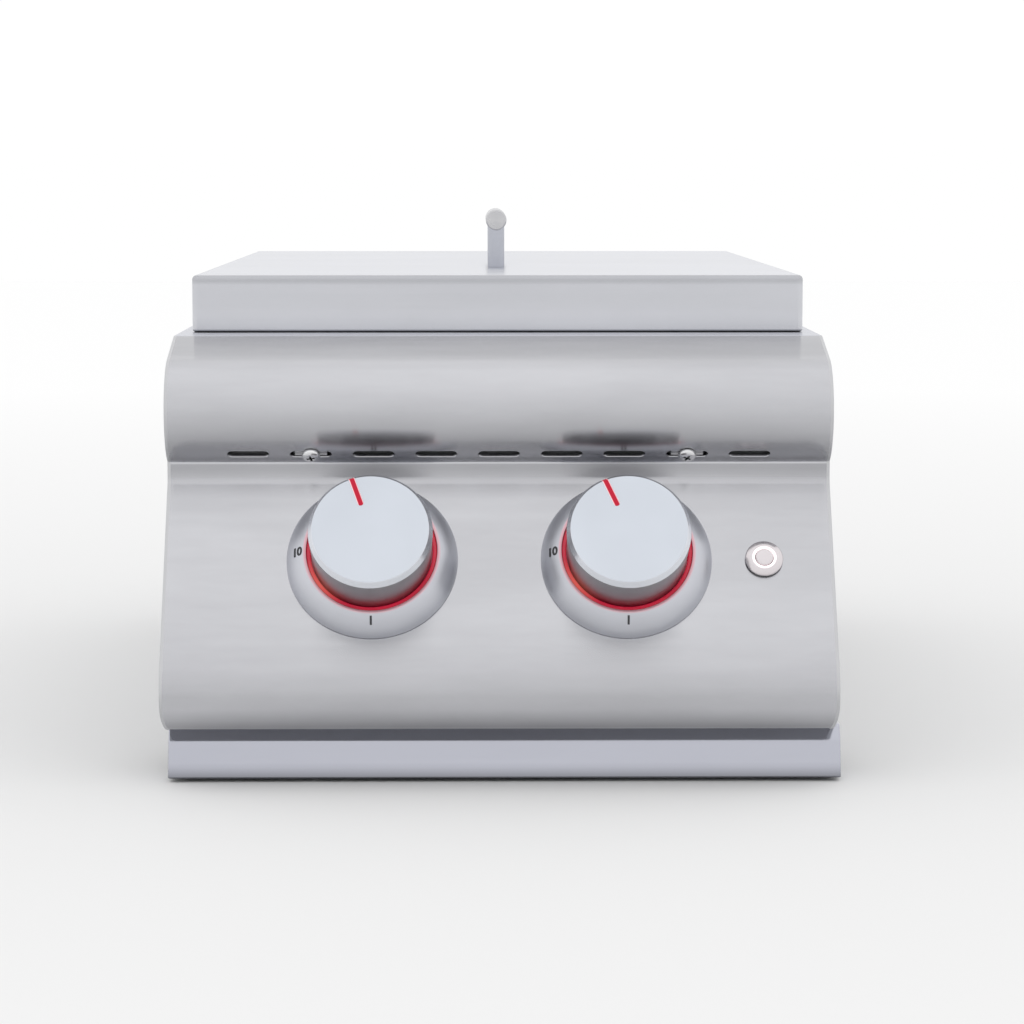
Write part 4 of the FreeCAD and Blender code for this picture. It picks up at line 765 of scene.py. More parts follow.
    def rod(self, points: Sequence[Vector], radius: float, bend: float = 0.0, sides: int = 16,
            steps: int = 6) -> "Blank":
        """Bends a round rod along points.

        Args:
            points: its ends and its corners.
            radius: the rod's radius.
            bend: the radius of each bend's middle line.
            sides: how many sides the rod has.
            steps: how many steps each bend has.

        Returns:
            This blank.
        """
        inward = (points[1] - points[0]).normalized()
        stand = Matrix.Translation(points[0]) @ inward.to_track_quat("Z", "Y").to_matrix().to_4x4()
        known = set(self.mesh.faces)
        bmesh.ops.create_circle(self.mesh, cap_ends=True, radius=radius, segments=sides, matrix=stand)
        end = [face for face in self.mesh.faces if face not in known]
        place = points[0]
        for corner, after in zip(points[1:-1], points[2:]):
            outward = (after - corner).normalized()
            turn = inward.angle(outward)
            reach = bend * math.tan(turn / 2)
            end = self.extrude(end, corner - inward * reach - place)
            axis = inward.cross(outward).normalized()
            centre = corner - inward * reach + axis.cross(inward) * bend
            made = bmesh.ops.spin(self.mesh, geom=self.whole(end), cent=centre, axis=axis, angle=turn,
                                  steps=steps)
            end = of_kind(made["geom_last"], bmesh.types.BMFace)
            place = corner + outward * reach
            inward = outward
        self.extrude(end, points[-1] - place)
        return self.tidied()

    def tidied(self) -> "Blank":
        """Merges doubled vertices and turns every face outwards."""
        bmesh.ops.remove_doubles(self.mesh, verts=self.mesh.verts[:], dist=WELD)
        bmesh.ops.recalc_face_normals(self.mesh, faces=self.mesh.faces[:])
        return self

    def placed(self, place: Matrix) -> "Blank":
        """Moves the whole shape by a matrix."""
        bmesh.ops.transform(self.mesh, matrix=place, verts=self.mesh.verts[:])
        return self

    def repeated(self, places: Iterable[Matrix]) -> "Blank":
        """Replaces the shape by one copy at each place."""
        source = self.everything()
        for place in places:
            made = bmesh.ops.duplicate(self.mesh, geom=source)["geom"]
            bmesh.ops.transform(self.mesh, matrix=place, verts=of_kind(made, bmesh.types.BMVert))
        bmesh.ops.delete(self.mesh, geom=of_kind(source, bmesh.types.BMVert), context="VERTS")
        return self

    def softened(self, offset: float, segments: int = 3, least: float = 25.0,
                 where: Callable[[Vector], bool] = lambda middle: True) -> "Blank":
        """Rounds the sharp edges.

        Args:
            offset: how far from the edge the rounding starts.
            segments: how many steps it has.
            least: the smallest angle in degrees that counts as sharp.
            where: tells from an edge's middle whether it is rounded.

        Returns:
            This blank.
        """
        sharp = [edge for edge in self.mesh.edges if len(edge.link_faces) == 2
                 and math.degrees(edge.calc_face_angle(0.0)) > least
                 and where((edge.verts[0].co + edge.verts[1].co) / 2)]
        self.bevel(sharp, offset, segments, clamped=True)
        return self

    def trimmed(self, other: "Blank", trim: Trim = Trim.CUT) -> "Blank":
        """Cuts away another shape, or keeps what both share."""
        mine, theirs = self.thing("trimmed"), other.thing("trimming")
        modifier = mine.modifiers.new("trim", "BOOLEAN")
        modifier.operation = trim.value
        modifier.solver = "EXACT"
        modifier.object = theirs
        mesh = baked(mine)
        bpy.data.objects.remove(theirs)
        self.mesh.clear()
        self.mesh.from_mesh(mesh)
        return self

    def added(self, other: "Blank") -> "Blank":
        """Adds another shape's faces beside this one's."""
        mesh = bpy.data.meshes.new("added")
        other.mesh.to_mesh(mesh)
        self.mesh.from_mesh(mesh)
        return self

    def thing(self, name: str) -> bpy.types.Object:
        """Gives a linked object with this shape's mesh."""
        mesh = bpy.data.meshes.new(name)
        self.mesh.to_mesh(mesh)
        made = bpy.data.objects.new(name, mesh)
        bpy.context.scene.collection.objects.link(made)
        return made

    def lay_grain(self, grain_at: GrainMap) -> None:
        """Maps every face so that its U axis runs across the grain.

        Args:
            grain_at: gives the grain's direction at a place.
        """
        layer = self.mesh.loops.layers.uv.get("grain") or self.mesh.loops.layers.uv.new("grain")
        self.mesh.normal_update()
        for face in self.mesh.faces:
            across = grain_at(face.calc_center_median()).cross(face.normal)
            if across.length < NO_LENGTH:
                across = face.normal.orthogonal()
            across.normalize()
            along = face.normal.cross(across)
            for loop in face.loops:
                loop[layer].uv = (loop.vert.co.dot(across), loop.vert.co.dot(along))

    def smoothed(self, sharp: float) -> None:
        """Shades every face smooth, except over edges sharper than the angle in degrees."""
        for face in self.mesh.faces:
            face.smooth = True
        for edge in self.mesh.edges:
            edge.smooth = len(edge.link_faces) == 2 and math.degrees(edge.calc_face_angle(0.0)) < sharp


def punch(radius: float, low: float, high: float, steps: int) -> Blank:
    """Gives a plain round bar about Z, to cut with."""
    return Blank().turned([(0, low), (radius, low), (radius, high), (0, high)], steps)


def along(direction: Vector) -> GrainMap:
    """Gives straight grain in one direction."""
    return lambda place: direction


def round_axis(centre: Vector, axis: Vector) -> GrainMap:
    """Gives the grain of a lathe, round an axis through a centre."""
    return lambda place: axis.cross(place - centre)


def piece(blank: Blank, name: str, finish: Finish, body: Optional[Body], *nodes: str,
          grain: GrainMap = along(X_AXIS), sharp: float = 32.0) -> bpy.types.Object:
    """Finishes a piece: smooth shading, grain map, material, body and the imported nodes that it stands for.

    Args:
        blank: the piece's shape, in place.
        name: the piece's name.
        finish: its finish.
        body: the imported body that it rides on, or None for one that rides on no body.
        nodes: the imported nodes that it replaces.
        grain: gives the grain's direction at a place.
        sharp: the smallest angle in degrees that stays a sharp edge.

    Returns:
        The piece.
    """
    blank.smoothed(sharp)
    blank.lay_grain(grain)
    made = blank.thing(name)
    made.modifiers.new("even_normals", "WEIGHTED_NORMAL").keep_sharp = True
    made.data.materials.append(finish.material())
    if body:
        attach(made, body.value)
    if nodes:
        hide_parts(*nodes)
    log.info("%s: %d faces on %s", name, len(made.data.polygons), body.value if body else "two bodies")
    return made


def smooth_copy(node: str, finish: Finish, body: Optional[Body], sharp: float = 34.0) -> bpy.types.Object:
    """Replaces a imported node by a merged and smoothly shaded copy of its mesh."""
    blank = Blank()
    blank.mesh.from_mesh(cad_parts[node].data)
    bmesh.ops.remove_doubles(blank.mesh, verts=blank.mesh.verts[:], dist=WELD)
    return piece(blank, node + "_skin", finish, body, node, sharp=sharp)


def paint(made: bpy.types.Object, finish: Finish, chosen: Callable[[Vector], bool]) -> None:
    """Gives some faces of a piece another finish.

    Args:
        made: the piece.
        finish: the other finish.
        chosen: tells from a face's middle whether it gets that finish.
    """
    made.data.materials.append(finish.material())
    for face in made.data.polygons:
        if chosen(face.center):
            face.material_index = len(made.data.materials) - 1


def dress_node(node: str, finish: Finish) -> None:
    """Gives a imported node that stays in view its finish."""
    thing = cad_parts[node]
    if not thing.material_slots:
        thing.data.materials.append(None)
    for slot in thing.material_slots:
        slot.material = finish.material()
    log.info("%s: %s", node, finish.name)


# Sub-assemblies
@dataclass
class Lid:
    """The pan lid with its round bar handle."""

    half_width: float = 0.1647
    front: float = -0.236
    rear: float = 0.279
    foot: float = 0.2233
    height: float = 0.0305
    sheet: float = 0.001
    corner: float = 0.0032
    top_round: float = 0.0025
    hem: float = 0.003
    hem_round: float = 0.0015
    bar_radius: float = 0.006
    bar_length: float = 0.080
    bar_rise: float = 0.0274
    post_radius: float = 0.00475
    post_front: float = 0.145
    post_pitch: float = 0.064
    hem_soft: float = 0.0007
    inner_round: float = 0.0014
    hole_radius: float = 0.0026
    bar_soft: float = 0.0009
    post_soft: float = 0.0003
    thread_depth: float = 0.012
    screw_radius: float = 0.0024
    screw_length: float = 0.011
    screw_head_radius: float = 0.0045
    screw_head: float = 0.0026
    screw_soft: float = 0.0005
    socket_radius: float = 0.0019
    socket_floor: float = 0.0012

    def build(self) -> None:
        """Makes the lid's pieces."""
        self.shell()
        self.handle()
        self.screws()

    @property
    def top(self) -> float:
        """Height of the lid's top face."""
        return self.foot + self.height

    def posts(self) -> list[Vector]:
        """Gives the two posts' feet on the lid's top."""
        first = self.front + self.post_front
        return [Vector((0, first, self.top)), Vector((0, first + self.post_pitch, self.top))]

    def level(self, inset: float, height: float, corner: float, rounding: float = 0.0) -> Ring:
        """Gives a loop of the shell at an inset from its outline and a height above its foot."""
        return Ring(self.half_width - inset, self.front + inset, self.rear - inset, self.foot + height,
                    corner, rounding)

    def shell(self) -> None:
        """Makes the drawn shell: soft top edge, upright walls and a rolled hem round the foot."""
        inner = self.corner - self.sheet
        rings = [self.level(0, self.height, self.corner, self.top_round),
                 self.level(0, 0, self.corner, self.hem_round),
                 self.level(self.hem, 0, inner, self.hem_soft),
                 self.level(self.hem, self.hem, inner, self.hem_soft),
                 self.level(self.sheet, self.hem, inner),
                 self.level(self.sheet, self.height - self.sheet, inner, self.inner_round)]
        holes = punch(self.hole_radius, -0.004, 0.003, 24)
        holes.repeated([Matrix.Translation(post) for post in self.posts()])
        blank = Blank().loft(rings, steps=8).trimmed(holes)
        piece(blank, "lid_pan", Finishes.LID, Body.LID, "lid_shell")

    def handle(self) -> None:
        """Makes the bar, end on to the front, and the two posts that meet its underside."""
        half, radius, rise, depth = self.bar_length / 2, self.bar_radius, self.bar_rise, self.thread_depth
        bar = Blank().turned([(0, -half), (radius, -half, self.bar_soft), (radius, half, self.bar_soft),
                              (0, half)], steps=64)
        middle = (self.posts()[0] + self.posts()[1]) / 2 + Z_AXIS * rise
        across = Matrix.Translation(middle) @ Matrix.Rotation(math.pi / 2, 4, "X")
        bar.placed(across)
        cutter = punch(radius, -half, half, 64).placed(across)
        post = Blank().turned([(self.screw_radius, 0), (self.post_radius, 0, self.post_soft),
                               (self.post_radius, rise), (0, rise), (0, depth), (self.screw_radius, depth)],
                              steps=48)
        post.repeated([Matrix.Translation(foot) for foot in self.posts()]).trimmed(cutter)
        piece(bar, "handle_grip", Finishes.BAR, Body.LID, "handle_bar",
              grain=round_axis(middle, Y_AXIS), sharp=40)
        piece(post, "handle_feet", Finishes.POST, Body.LID, "handle_posts", grain=along(Z_AXIS), sharp=40)

    def screws(self) -> None:
        """Makes the two socket head screws under the lid."""
        head, radius, length = self.screw_head_radius, self.screw_radius, self.screw_length
        screw = Blank().turned([(0, -self.socket_floor), (self.socket_radius, -self.socket_floor),
                                (self.socket_radius, -self.screw_head),
                                (head, -self.screw_head, self.screw_soft), (head, 0), (radius, 0),
                                (radius, length), (0, length)], steps=32)
        screw.repeated([Matrix.Translation(foot - Z_AXIS * self.sheet) for foot in self.posts()])
        piece(screw, "handle_bolts", Finishes.SCREW, Body.LID, "handle_screws")


@dataclass
class ControlHousing:
    """The bent control panel with its slots, end caps, screws and clips.

    Outs are measured forwards from the deck's front edge, and drops downwards from the deck.
    """

    half_width: float = 0.1699
    sheet: float = 0.0012
    cap_sheet: float = 0.0016
    lip: float = 0.012
    slope: float = math.radians(14.5)
    slope_run: float = 0.0397
    top_radius: float = 0.028
    crease_out: float = 0.042
    neck: float = 0.010
    neck_radius: float = 0.008
    low_radius: float = 0.027
    low_rise: float = 0.017
    foot_drop: float = 0.194
    flange: float = 0.0157
    fold: float = 0.0011
    knob_hole: float = 0.017
    button_hole: float = 0.008
    slot_count: int = 9
    slot_pitch: float = 0.0323
    slot_length: float = 0.021
    slot_width: float = 0.005
    slot_angle: float = math.radians(50)
    slot_flare: float = 0.0004
    screw_slot: int = 3
    screw_head: float = 0.00465
    screw_crown: float = 0.0034
    screw_shank: float = 0.002
    screw_length: float = 0.009
    screw_gap: float = 0.00005
    screw_height: float = 0.0028
    recess_floor: float = 0.0008
    recess_share: float = 0.46
    recess_half: float = 0.00055
    screw_turns: tuple[float, float] = (math.radians(12), math.radians(-30))
    clip_half: float = 0.00825
    clip_width: float = 0.0045
    clip_sheet: float = 0.0012
    clip_drop: float = 0.0019
    clip_hole: float = 0.0021
    rib_drop: float = 0.0006
    rib_gap: float = 0.0004
    rib_groove: float = 0.0007
    groove_drop: float = 0.0010
    corner_run: float = 0.0034
    corner_rise: float = 0.014
    corner_start: float = 0.080
    corner_end: float = 0.095
    corner_reach: float = 0.010
    corner_cuts: int = 6
    corner_pitch: float = 0.0025
    cap_soft: float = 0.00045
    roll_steps: int = 96
    neck_steps: int = 12
    foot_steps: int = 48

    def build(self) -> None:
        """Makes the housing's pieces."""
        self.panel()
        self.end_cap(-1, "left_end_cap")
        self.end_cap(1, "right_end_cap")
        self.screws()
        self.clips()

    @property
    def top_centre(self) -> tuple[float, float]:
        """Out and drop of the upper roll's centre."""
        return (self.slope_run * math.cos(self.slope) - self.top_radius * math.sin(self.slope),
                self.slope_run * math.sin(self.slope) + self.top_radius * math.cos(self.slope))

    @property
    def low_centre(self) -> tuple[float, float]:
        """Out and drop of the lower roll's centre."""
        tilt = SIZES.face_tilt
        crease = self.crease_drop + self.neck
        drop = self.foot_drop - self.low_rise
        run = (drop - self.low_radius * math.sin(tilt) - crease) / math.cos(tilt)
        return self.crease_out + run * math.sin(tilt) - self.low_radius * math.cos(tilt), drop

    @property
    def crease_drop(self) -> float:
        """Drop of the crease under the upper roll."""
        out, drop = self.top_centre
        return drop + math.sqrt(self.top_radius ** 2 - (self.crease_out - out) ** 2)

    def draw(self, blank: Blank, x: float) -> list:
        """Draws the panel's side line, from the deck's edge to the foot.

        Args:
            blank: where it is drawn.
            x: its sideways place.

        Returns:
            Its vertices, in order.
        """
        tilt = SIZES.face_tilt
        top_out, top_drop = self.top_centre
        low_out, low_drop = self.low_centre
        crease_turn = math.acos((self.crease_out - top_out) / self.top_radius)
        foot_turn = math.asin(self.low_rise / self.low_radius)
        neck_start = self.crease_drop + self.neck - self.neck_radius * math.tan(tilt / 2)
        line = [blank.mesh.verts.new(SIZES.front_point(x, 0, 0))]

        def arc(start_out: float, start_drop: float, centre: tuple[float, float], turn: float,
                steps: int) -> None:
            """Goes straight to an arc's start, then round its centre.

            Args:
                start_out: out of the arc's start.
                start_drop: drop of the arc's start.
                centre: out and drop of its centre.
                turn: how far it turns.
                steps: how many steps it has.
            """
            line.append(blank.mesh.verts.new(SIZES.front_point(x, start_out, start_drop)))
            blank.mesh.edges.new(line[-2:])
            known = set(blank.mesh.verts)
            bmesh.ops.spin(blank.mesh, geom=line[-1:], cent=SIZES.front_point(x, *centre), axis=X_AXIS,
                           angle=turn, steps=steps)
            line.extend(vert for vert in blank.mesh.verts if vert not in known)

        start = math.pi / 2 - self.slope
        arc(top_out + self.top_radius * math.cos(start), top_drop - self.top_radius * math.sin(start),
            (top_out, top_drop), start + crease_turn, self.roll_steps)
        arc(self.crease_out, neck_start, (self.crease_out + self.neck_radius, neck_start), -tilt,
            self.neck_steps)
        arc(low_out + self.low_radius * math.cos(tilt), low_drop - self.low_radius * math.sin(tilt),
            (low_out, low_drop), tilt + foot_turn, self.foot_steps)
        return line

    def slot_frame(self, x: float) -> Matrix:
        """Gives the frame on the under curve at a slot's middle, Z out of the sheet."""
        out, drop = self.top_centre
        origin = SIZES.front_point(x, out + self.top_radius * math.cos(self.slot_angle),
                                   drop + self.top_radius * math.sin(self.slot_angle))
        return Matrix.Translation(origin) @ Matrix.Rotation(math.pi / 2 + self.slot_angle, 4, "X")

    def slots(self) -> Blank:
        """Gives the nine slot cutters, each flared where it leaves the sheet."""
        half, radius = self.slot_length / 2, self.slot_width / 2
        heights = [(-0.004, 0.0), (-0.0005, 0.0), (0.0002, self.slot_flare), (0.002, self.slot_flare)]
        rings = [Ring(half + flare, -radius - flare, radius + flare, z, (radius + flare) * 0.995)
                 for z, flare in heights]
        first = -(self.slot_count - 1) / 2
        places = [self.slot_frame((first + index) * self.slot_pitch) for index in range(self.slot_count)]
        return Blank().loft(rings, steps=10).repeated(places)

    def drawn_in(self, blank: Blank) -> Blank:
        """Rounds the housing's lower front corners, as seen from the front."""
        foot = SIZES.deck_height - self.foot_drop
        for vert in blank.mesh.verts:
            out = SIZES.front - vert.co.y
            forward = (out - self.corner_start) / (self.corner_end - self.corner_start)
            low = 1 - (vert.co.z - foot) / self.corner_rise
            aside = 1 - (self.half_width - abs(vert.co.x)) / self.corner_reach
            forward, low, aside = (min(max(share, 0.0), 1.0) for share in (forward, low, aside))
            inset = self.corner_run * (1 - math.sqrt(1 - low ** 2)) * forward * aside
            vert.co.x -= math.copysign(inset, vert.co.x)
        return blank

    def panel(self) -> None:
        """Makes the panel: its side line drawn across, folded at both ends, thickened, and cut."""
        blank = Blank()
        line = self.draw(blank, -self.half_width)
        lip = blank.mesh.verts.new(SIZES.front_point(-self.half_width, 0, self.lip))
        flange_out = SIZES.front - line[-1].co.y - self.flange
        flange = blank.mesh.verts.new(SIZES.front_point(-self.half_width, flange_out, self.foot_drop))
        blank.mesh.edges.new((lip, line[0]))
        blank.mesh.edges.new((line[-1], flange))
        made = bmesh.ops.extrude_edge_only(blank.mesh, edges=blank.mesh.edges[:])["geom"]
        bmesh.ops.translate(blank.mesh, verts=of_kind(made, bmesh.types.BMVert),
                            vec=X_AXIS * 2 * self.half_width)
        blank.tidied().softened(self.fold, 4)
        front = max(blank.mesh.faces, key=lambda face: face.calc_area())
        if front.normal.y > 0:
            bmesh.ops.reverse_faces(blank.mesh, faces=blank.mesh.faces[:])
        bmesh.ops.solidify(blank.mesh, geom=blank.mesh.faces[:], thickness=self.sheet)
        blank.tidied()
        holes = punch(self.knob_hole, -0.006, 0.003, 48)
        holes.repeated([SIZES.face_frame(-SIZES.knob_x), SIZES.face_frame(SIZES.knob_x)])
        small = punch(self.button_hole, -0.006, 0.003, 48).placed(SIZES.face_frame(SIZES.button_x))
        blank.trimmed(self.slots()).trimmed(holes).trimmed(small)
        piece(self.drawn_in(blank), "panel_sheet", Finishes.PANEL, Body.BASE, "control_panel", sharp=28)

    def end_cap(self, side: int, node: str) -> None:
        """Makes one S shaped end plate with softened rims.

        Args:
            side: -1 for the left, 1 for the right.
            node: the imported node.
        """
        blank = Blank()
        inner = side * self.half_width
        line = self.draw(blank, inner)
        back = blank.mesh.verts.new(SIZES.front_point(inner, 0, self.foot_drop))
        blank.mesh.edges.new((line[-1], back))
        blank.mesh.edges.new((back, line[0]))
        bmesh.ops.contextual_create(blank.mesh, geom=blank.mesh.edges[:])
        blank.extrude(blank.mesh.faces[:], X_AXIS * side * self.cap_sheet)
        rim = self.half_width + self.cap_sheet / 2
        blank.tidied().softened(self.cap_soft, 3, 60, lambda middle: abs(middle.x) > rim)
        foot = SIZES.deck_height - self.foot_drop
        front = SIZES.front - self.corner_start
        for step in range(self.corner_cuts + 1):
            for place, normal in ((Z_AXIS * (foot + self.corner_rise * step / self.corner_cuts), Z_AXIS),
                                  (Y_AXIS * (front - self.corner_pitch * step), Y_AXIS)):
                bmesh.ops.bisect_plane(blank.mesh, geom=blank.everything(), dist=WELD, plane_co=place,
                                       plane_no=normal)
        piece(self.drawn_in(blank), node + "_plate", Finishes.SIDE, Body.BASE, node, grain=along(Z_AXIS))

    def screw_places(self) -> list[Matrix]:
        """Gives the two screws' frames, in the second and eighth slot."""
        reach = self.screw_slot * self.slot_pitch
        return [self.slot_frame(-reach), self.slot_frame(reach)]

    def screws(self) -> None:
        """Makes the two pan head screws with their cross recess."""
        head, shank, gap, top = self.screw_head, self.screw_shank, self.screw_gap, self.screw_height
        screw = Blank().turned([(0, -self.screw_length), (shank, -self.screw_length, 0.0006), (shank, gap),
                                (head, gap, 0.00025), (head, 0.0015, 0.0007),
                                (self.screw_crown, top, 0.0012), (0, top)], steps=48)
        arm, half = head * self.recess_share, self.recess_half
        for x, y in ((arm, half), (half, arm)):
            screw.trimmed(Blank().prism([(-x, -y), (x, -y), (x, y), (-x, y)], X_AXIS, Y_AXIS, Z_AXIS * 0.004,
                                        Z_AXIS * self.recess_floor))
        places = [place @ Matrix.Rotation(turn, 4, "Z")
                  for place, turn in zip(self.screw_places(), self.screw_turns)]

        def in_recess(point: Vector) -> bool:
            """Tells whether a face's middle lies in a screw's cross recess."""
            middle = min((place.inverted() @ point for place in places), key=lambda point: point.length)
            return middle.xy.length < arm + 0.0001 and self.recess_floor - 0.0002 < middle.z < top - 0.0001

        bolts = piece(screw.repeated(places), "panel_bolts", Finishes.SCREW, Body.BASE, "panel_screws",
                      sharp=30)
        # Painted shade in the cross recesses.
        paint(bolts, Finishes.PAINTED_RECESS_SHADE, in_recess)

    def clips(self) -> None:
        """Makes the clip plates behind the two screw slots, each with a rib that stands in its slot."""
        half, width, top, groove = self.clip_half, self.clip_width, -self.clip_drop, self.rib_groove
        rib = self.slot_width / 2 - self.rib_gap
        right = [(width, top - self.clip_sheet), (width, top, 0.0003), (rib, top),
                 (rib, -self.rib_drop, 0.0004), (groove, -self.rib_drop, 0.0003), (groove, -self.groove_drop)]
        left = [(-across, *rest) for across, *rest in reversed(right)]
        outline = left[-1:] + right + left[:-1]
        clip = Blank().prism(outline, Y_AXIS, Z_AXIS, X_AXIS * 2 * half, X_AXIS * -half, segments=3)
        clip.trimmed(punch(self.clip_hole, -0.006, 0.002, 24)).repeated(self.screw_places())
        piece(clip, "slot_clips", Finishes.CLIP, Body.BASE, "panel_clips")


class Mark(Enum):
    """The plain numbers on a knob's bezel: off at the top, 10 at nine o'clock and 1 at six o'clock."""

    OFF = ("0", 90)
    HIGH = ("10", 180)
    LOW = ("1", 270)


@dataclass
class KnobSet:
    """A knob with its lit pointer, its conical bezel with numbers, and the light ring round its foot."""

    side: str
    x: float
    turn: float
    body: Body
    radius: float = 0.03145
    foot_radius: float = 0.0303
    face_radius: float = 0.0294
    foot: float = 0.008
    rim: float = 0.0345
    face: float = 0.0375
    wall: float = 0.0025
    hub_radius: float = 0.009
    bore: float = 0.00408
    pointer_length: float = 0.0175
    pointer_width: float = 0.0030
    pointer_depth: float = 0.0026
    pointer_fit: float = 0.00008
    ring_outer: float = 0.0332
    ring_inner: float = 0.0310
    ring_top: float = 0.0112
    bezel_bore: float = 0.0333
    bezel_lip: float = 0.0346
    bezel_radius: float = 0.0438
    bezel_height: float = 0.012
    bezel_floor: float = 0.002
    bezel_hole: float = 0.012
    bezel_shoulder: Point = (0.0413, 0.0085, 0.0070)
    bezel_shadow: float = 0.0006
    flank_radius: float = 0.0173
    flank_centre: tuple[float, float] = (0.0271, -0.00361)
    mark_radius: float = 0.0381
    mark_height: float = 0.0064
    mark_weight: float = 0.00024
    mark_ink: float = 0.00007
    mark_cut: float = 0.0005
    mark_cuts: int = 6
    spot_angle: float = math.radians(215)

    def build(self) -> None:
        """Makes the set's pieces."""
        self.bezel()
        self.marks()
        self.light_ring()
        self.knob()
        self.pointer()

    @property
    def frame(self) -> Matrix:
        """The frame on the sloped face under the knob."""
        return SIZES.face_frame(self.x)

    @property
    def knob_frame(self) -> Matrix:
        """The same frame, turned with the knob."""
        return self.frame @ Matrix.Rotation(math.radians(self.turn), 4, "Z")

    @property
    def axis(self) -> Vector:
        """The outward direction of the knob's axis."""
        return self.frame.to_3x3() @ Z_AXIS

    def lathe(self) -> GrainMap:
        """Gives the grain round the knob's axis."""
        return round_axis(self.frame.translation, self.axis)

    def spun(self, name: str, colour: Colour, roughness: float, stretch: float, **more: object) -> SpunMetal:
        """Gives a spun finish centred on this knob's axis.

        Args:
            name: the finish's name, without the side.
            colour: its colour.
            roughness: its roughness.
            stretch: how far its highlight is stretched.
            more: other values of the finish.

        Returns:
            The finish.
        """
        return SpunMetal(f"{self.side}_{name}", Slot.SPUN, colour, roughness, tuple(self.frame.translation),
                         tuple(self.axis), stretch, **more)

    def bezel(self) -> None:
        """Makes the dished bezel with its full flank."""
        outline = [(self.bezel_hole, 0), (self.bezel_radius, 0, 0.0002), (self.bezel_radius, 0.001, 0.0004),
                   self.bezel_shoulder, (self.bezel_lip, self.bezel_height, 0.0005),
                   (self.bezel_bore, self.bezel_height, 0.0003), (self.bezel_bore, self.bezel_floor, 0.0006),
                   (self.bezel_hole, self.bezel_floor)]
        blank = Blank().turned(outline, steps=192, segments=8).placed(self.frame)
        # The bezel gets a painted shade line at its foot and painted red light at its lip.
        finish = self.spun("bezel", (0.60, 0.61, 0.655), 0.36, 0.5, foot=self.bezel_shadow,
                           blush=(self.bezel_lip - 0.0003, self.bezel_lip + 0.0007))
        piece(blank, self.side + "_bezel_cone", finish, Body.BASE, self.side + "_bezel", grain=self.lathe(),
              sharp=40)

    def marks(self) -> None:
        """Prints the numbers on the bezel's flank, each bent to the flank's curve."""
        blank = Blank()
        centre_radius, centre_height = self.flank_centre
        lean = math.acos((self.mark_radius - centre_radius) / self.flank_radius)
        height = centre_height + self.flank_radius * math.sin(lean)
        for mark in Mark:
            text, angle = mark.value
            out = Vector((math.cos(math.radians(angle)), math.sin(math.radians(angle)), 0))
            normal = out * math.cos(lean) + Z_AXIS * math.sin(lean)
            up = (Y_AXIS - normal * normal.y).normalized()
            right = up.cross(normal)
            middle = out * self.mark_radius + Z_AXIS * height
            printed = self.number(text)
            bend_up, bend_right = self.flank_radius, self.mark_radius
            if abs(out.y) < 0.5:
                bend_up, bend_right = bend_right, bend_up
            for vert in printed.mesh.verts:
                vert.co.z -= vert.co.y ** 2 / 2 / bend_up + vert.co.x ** 2 / 2 / bend_right
            facing = Matrix((right, up, normal)).transposed().to_4x4()
            blank.added(printed.placed(self.frame @ Matrix.Translation(middle) @ facing))
        piece(blank, self.side + "_dial_numbers", Finishes.INK, Body.BASE)

    def number(self, text: str) -> Blank:
        """Gives a flat number, cut across often enough to be bent.

        Args:
            text: its figures.

        Returns:
            The number, centred, X to the right and Y up.
        """
        curve = bpy.data.curves.new("number", "FONT")
        curve.body = text
        curve.size = self.mark_height
        curve.align_x = "CENTER"
        curve.align_y = "CENTER"
        curve.extrude = self.mark_ink
        curve.offset = self.mark_weight
        printed = bpy.data.objects.new("number", curve)
        bpy.context.scene.collection.objects.link(printed)
        blank = Blank()
        blank.mesh.from_mesh(baked(printed))
        bmesh.ops.remove_doubles(blank.mesh, verts=blank.mesh.verts[:], dist=WELD)
        for direction in (X_AXIS, Y_AXIS):
            for step in range(-self.mark_cuts, self.mark_cuts + 1):
                bmesh.ops.bisect_plane(blank.mesh, geom=blank.everything(), dist=WELD,
                                       plane_co=direction * step * self.mark_cut, plane_no=direction)
        return blank

    def light_ring(self) -> None:
        """Makes the clear red ring that shows between the bezel and the knob's foot."""
        outline = [(self.ring_inner, self.bezel_floor), (self.ring_outer, self.bezel_floor),
                   (self.ring_outer, self.ring_top, 0.0005), (self.ring_inner, self.ring_top, 0.0006)]
        blank = Blank().turned(outline, steps=192).placed(self.frame)
        spot = Vector((math.cos(self.spot_angle), math.sin(self.spot_angle), 0)) * self.ring_outer
        spot = self.frame @ (spot + Z_AXIS * self.ring_top)
        finish = LitPlastic(self.side + "_red_ring", Slot.RED_LIGHT, (0.40, 0.004, 0.025), 0.22,
                            (0.62, 0.005, 0.04), 0.38, 0.35, tuple(spot))
        piece(blank, self.side + "_glow_ring", finish, Body.BASE, self.side + "_light_ring", sharp=50)

    def slot(self, spare: float) -> Blank:
        """Gives the pointer's slot, larger by spare."""
        half = self.pointer_width / 2 + spare
        inner = self.radius - self.pointer_length - spare
        outline = [(-half, inner, half * 0.99), (half, inner, half * 0.99), (half, self.radius + 0.002),
                   (-half, self.radius + 0.002)]
        floor = self.face - self.pointer_depth - spare
        return Blank().prism(outline, X_AXIS, Y_AXIS, Z_AXIS * 0.006, Z_AXIS * floor, segments=10)

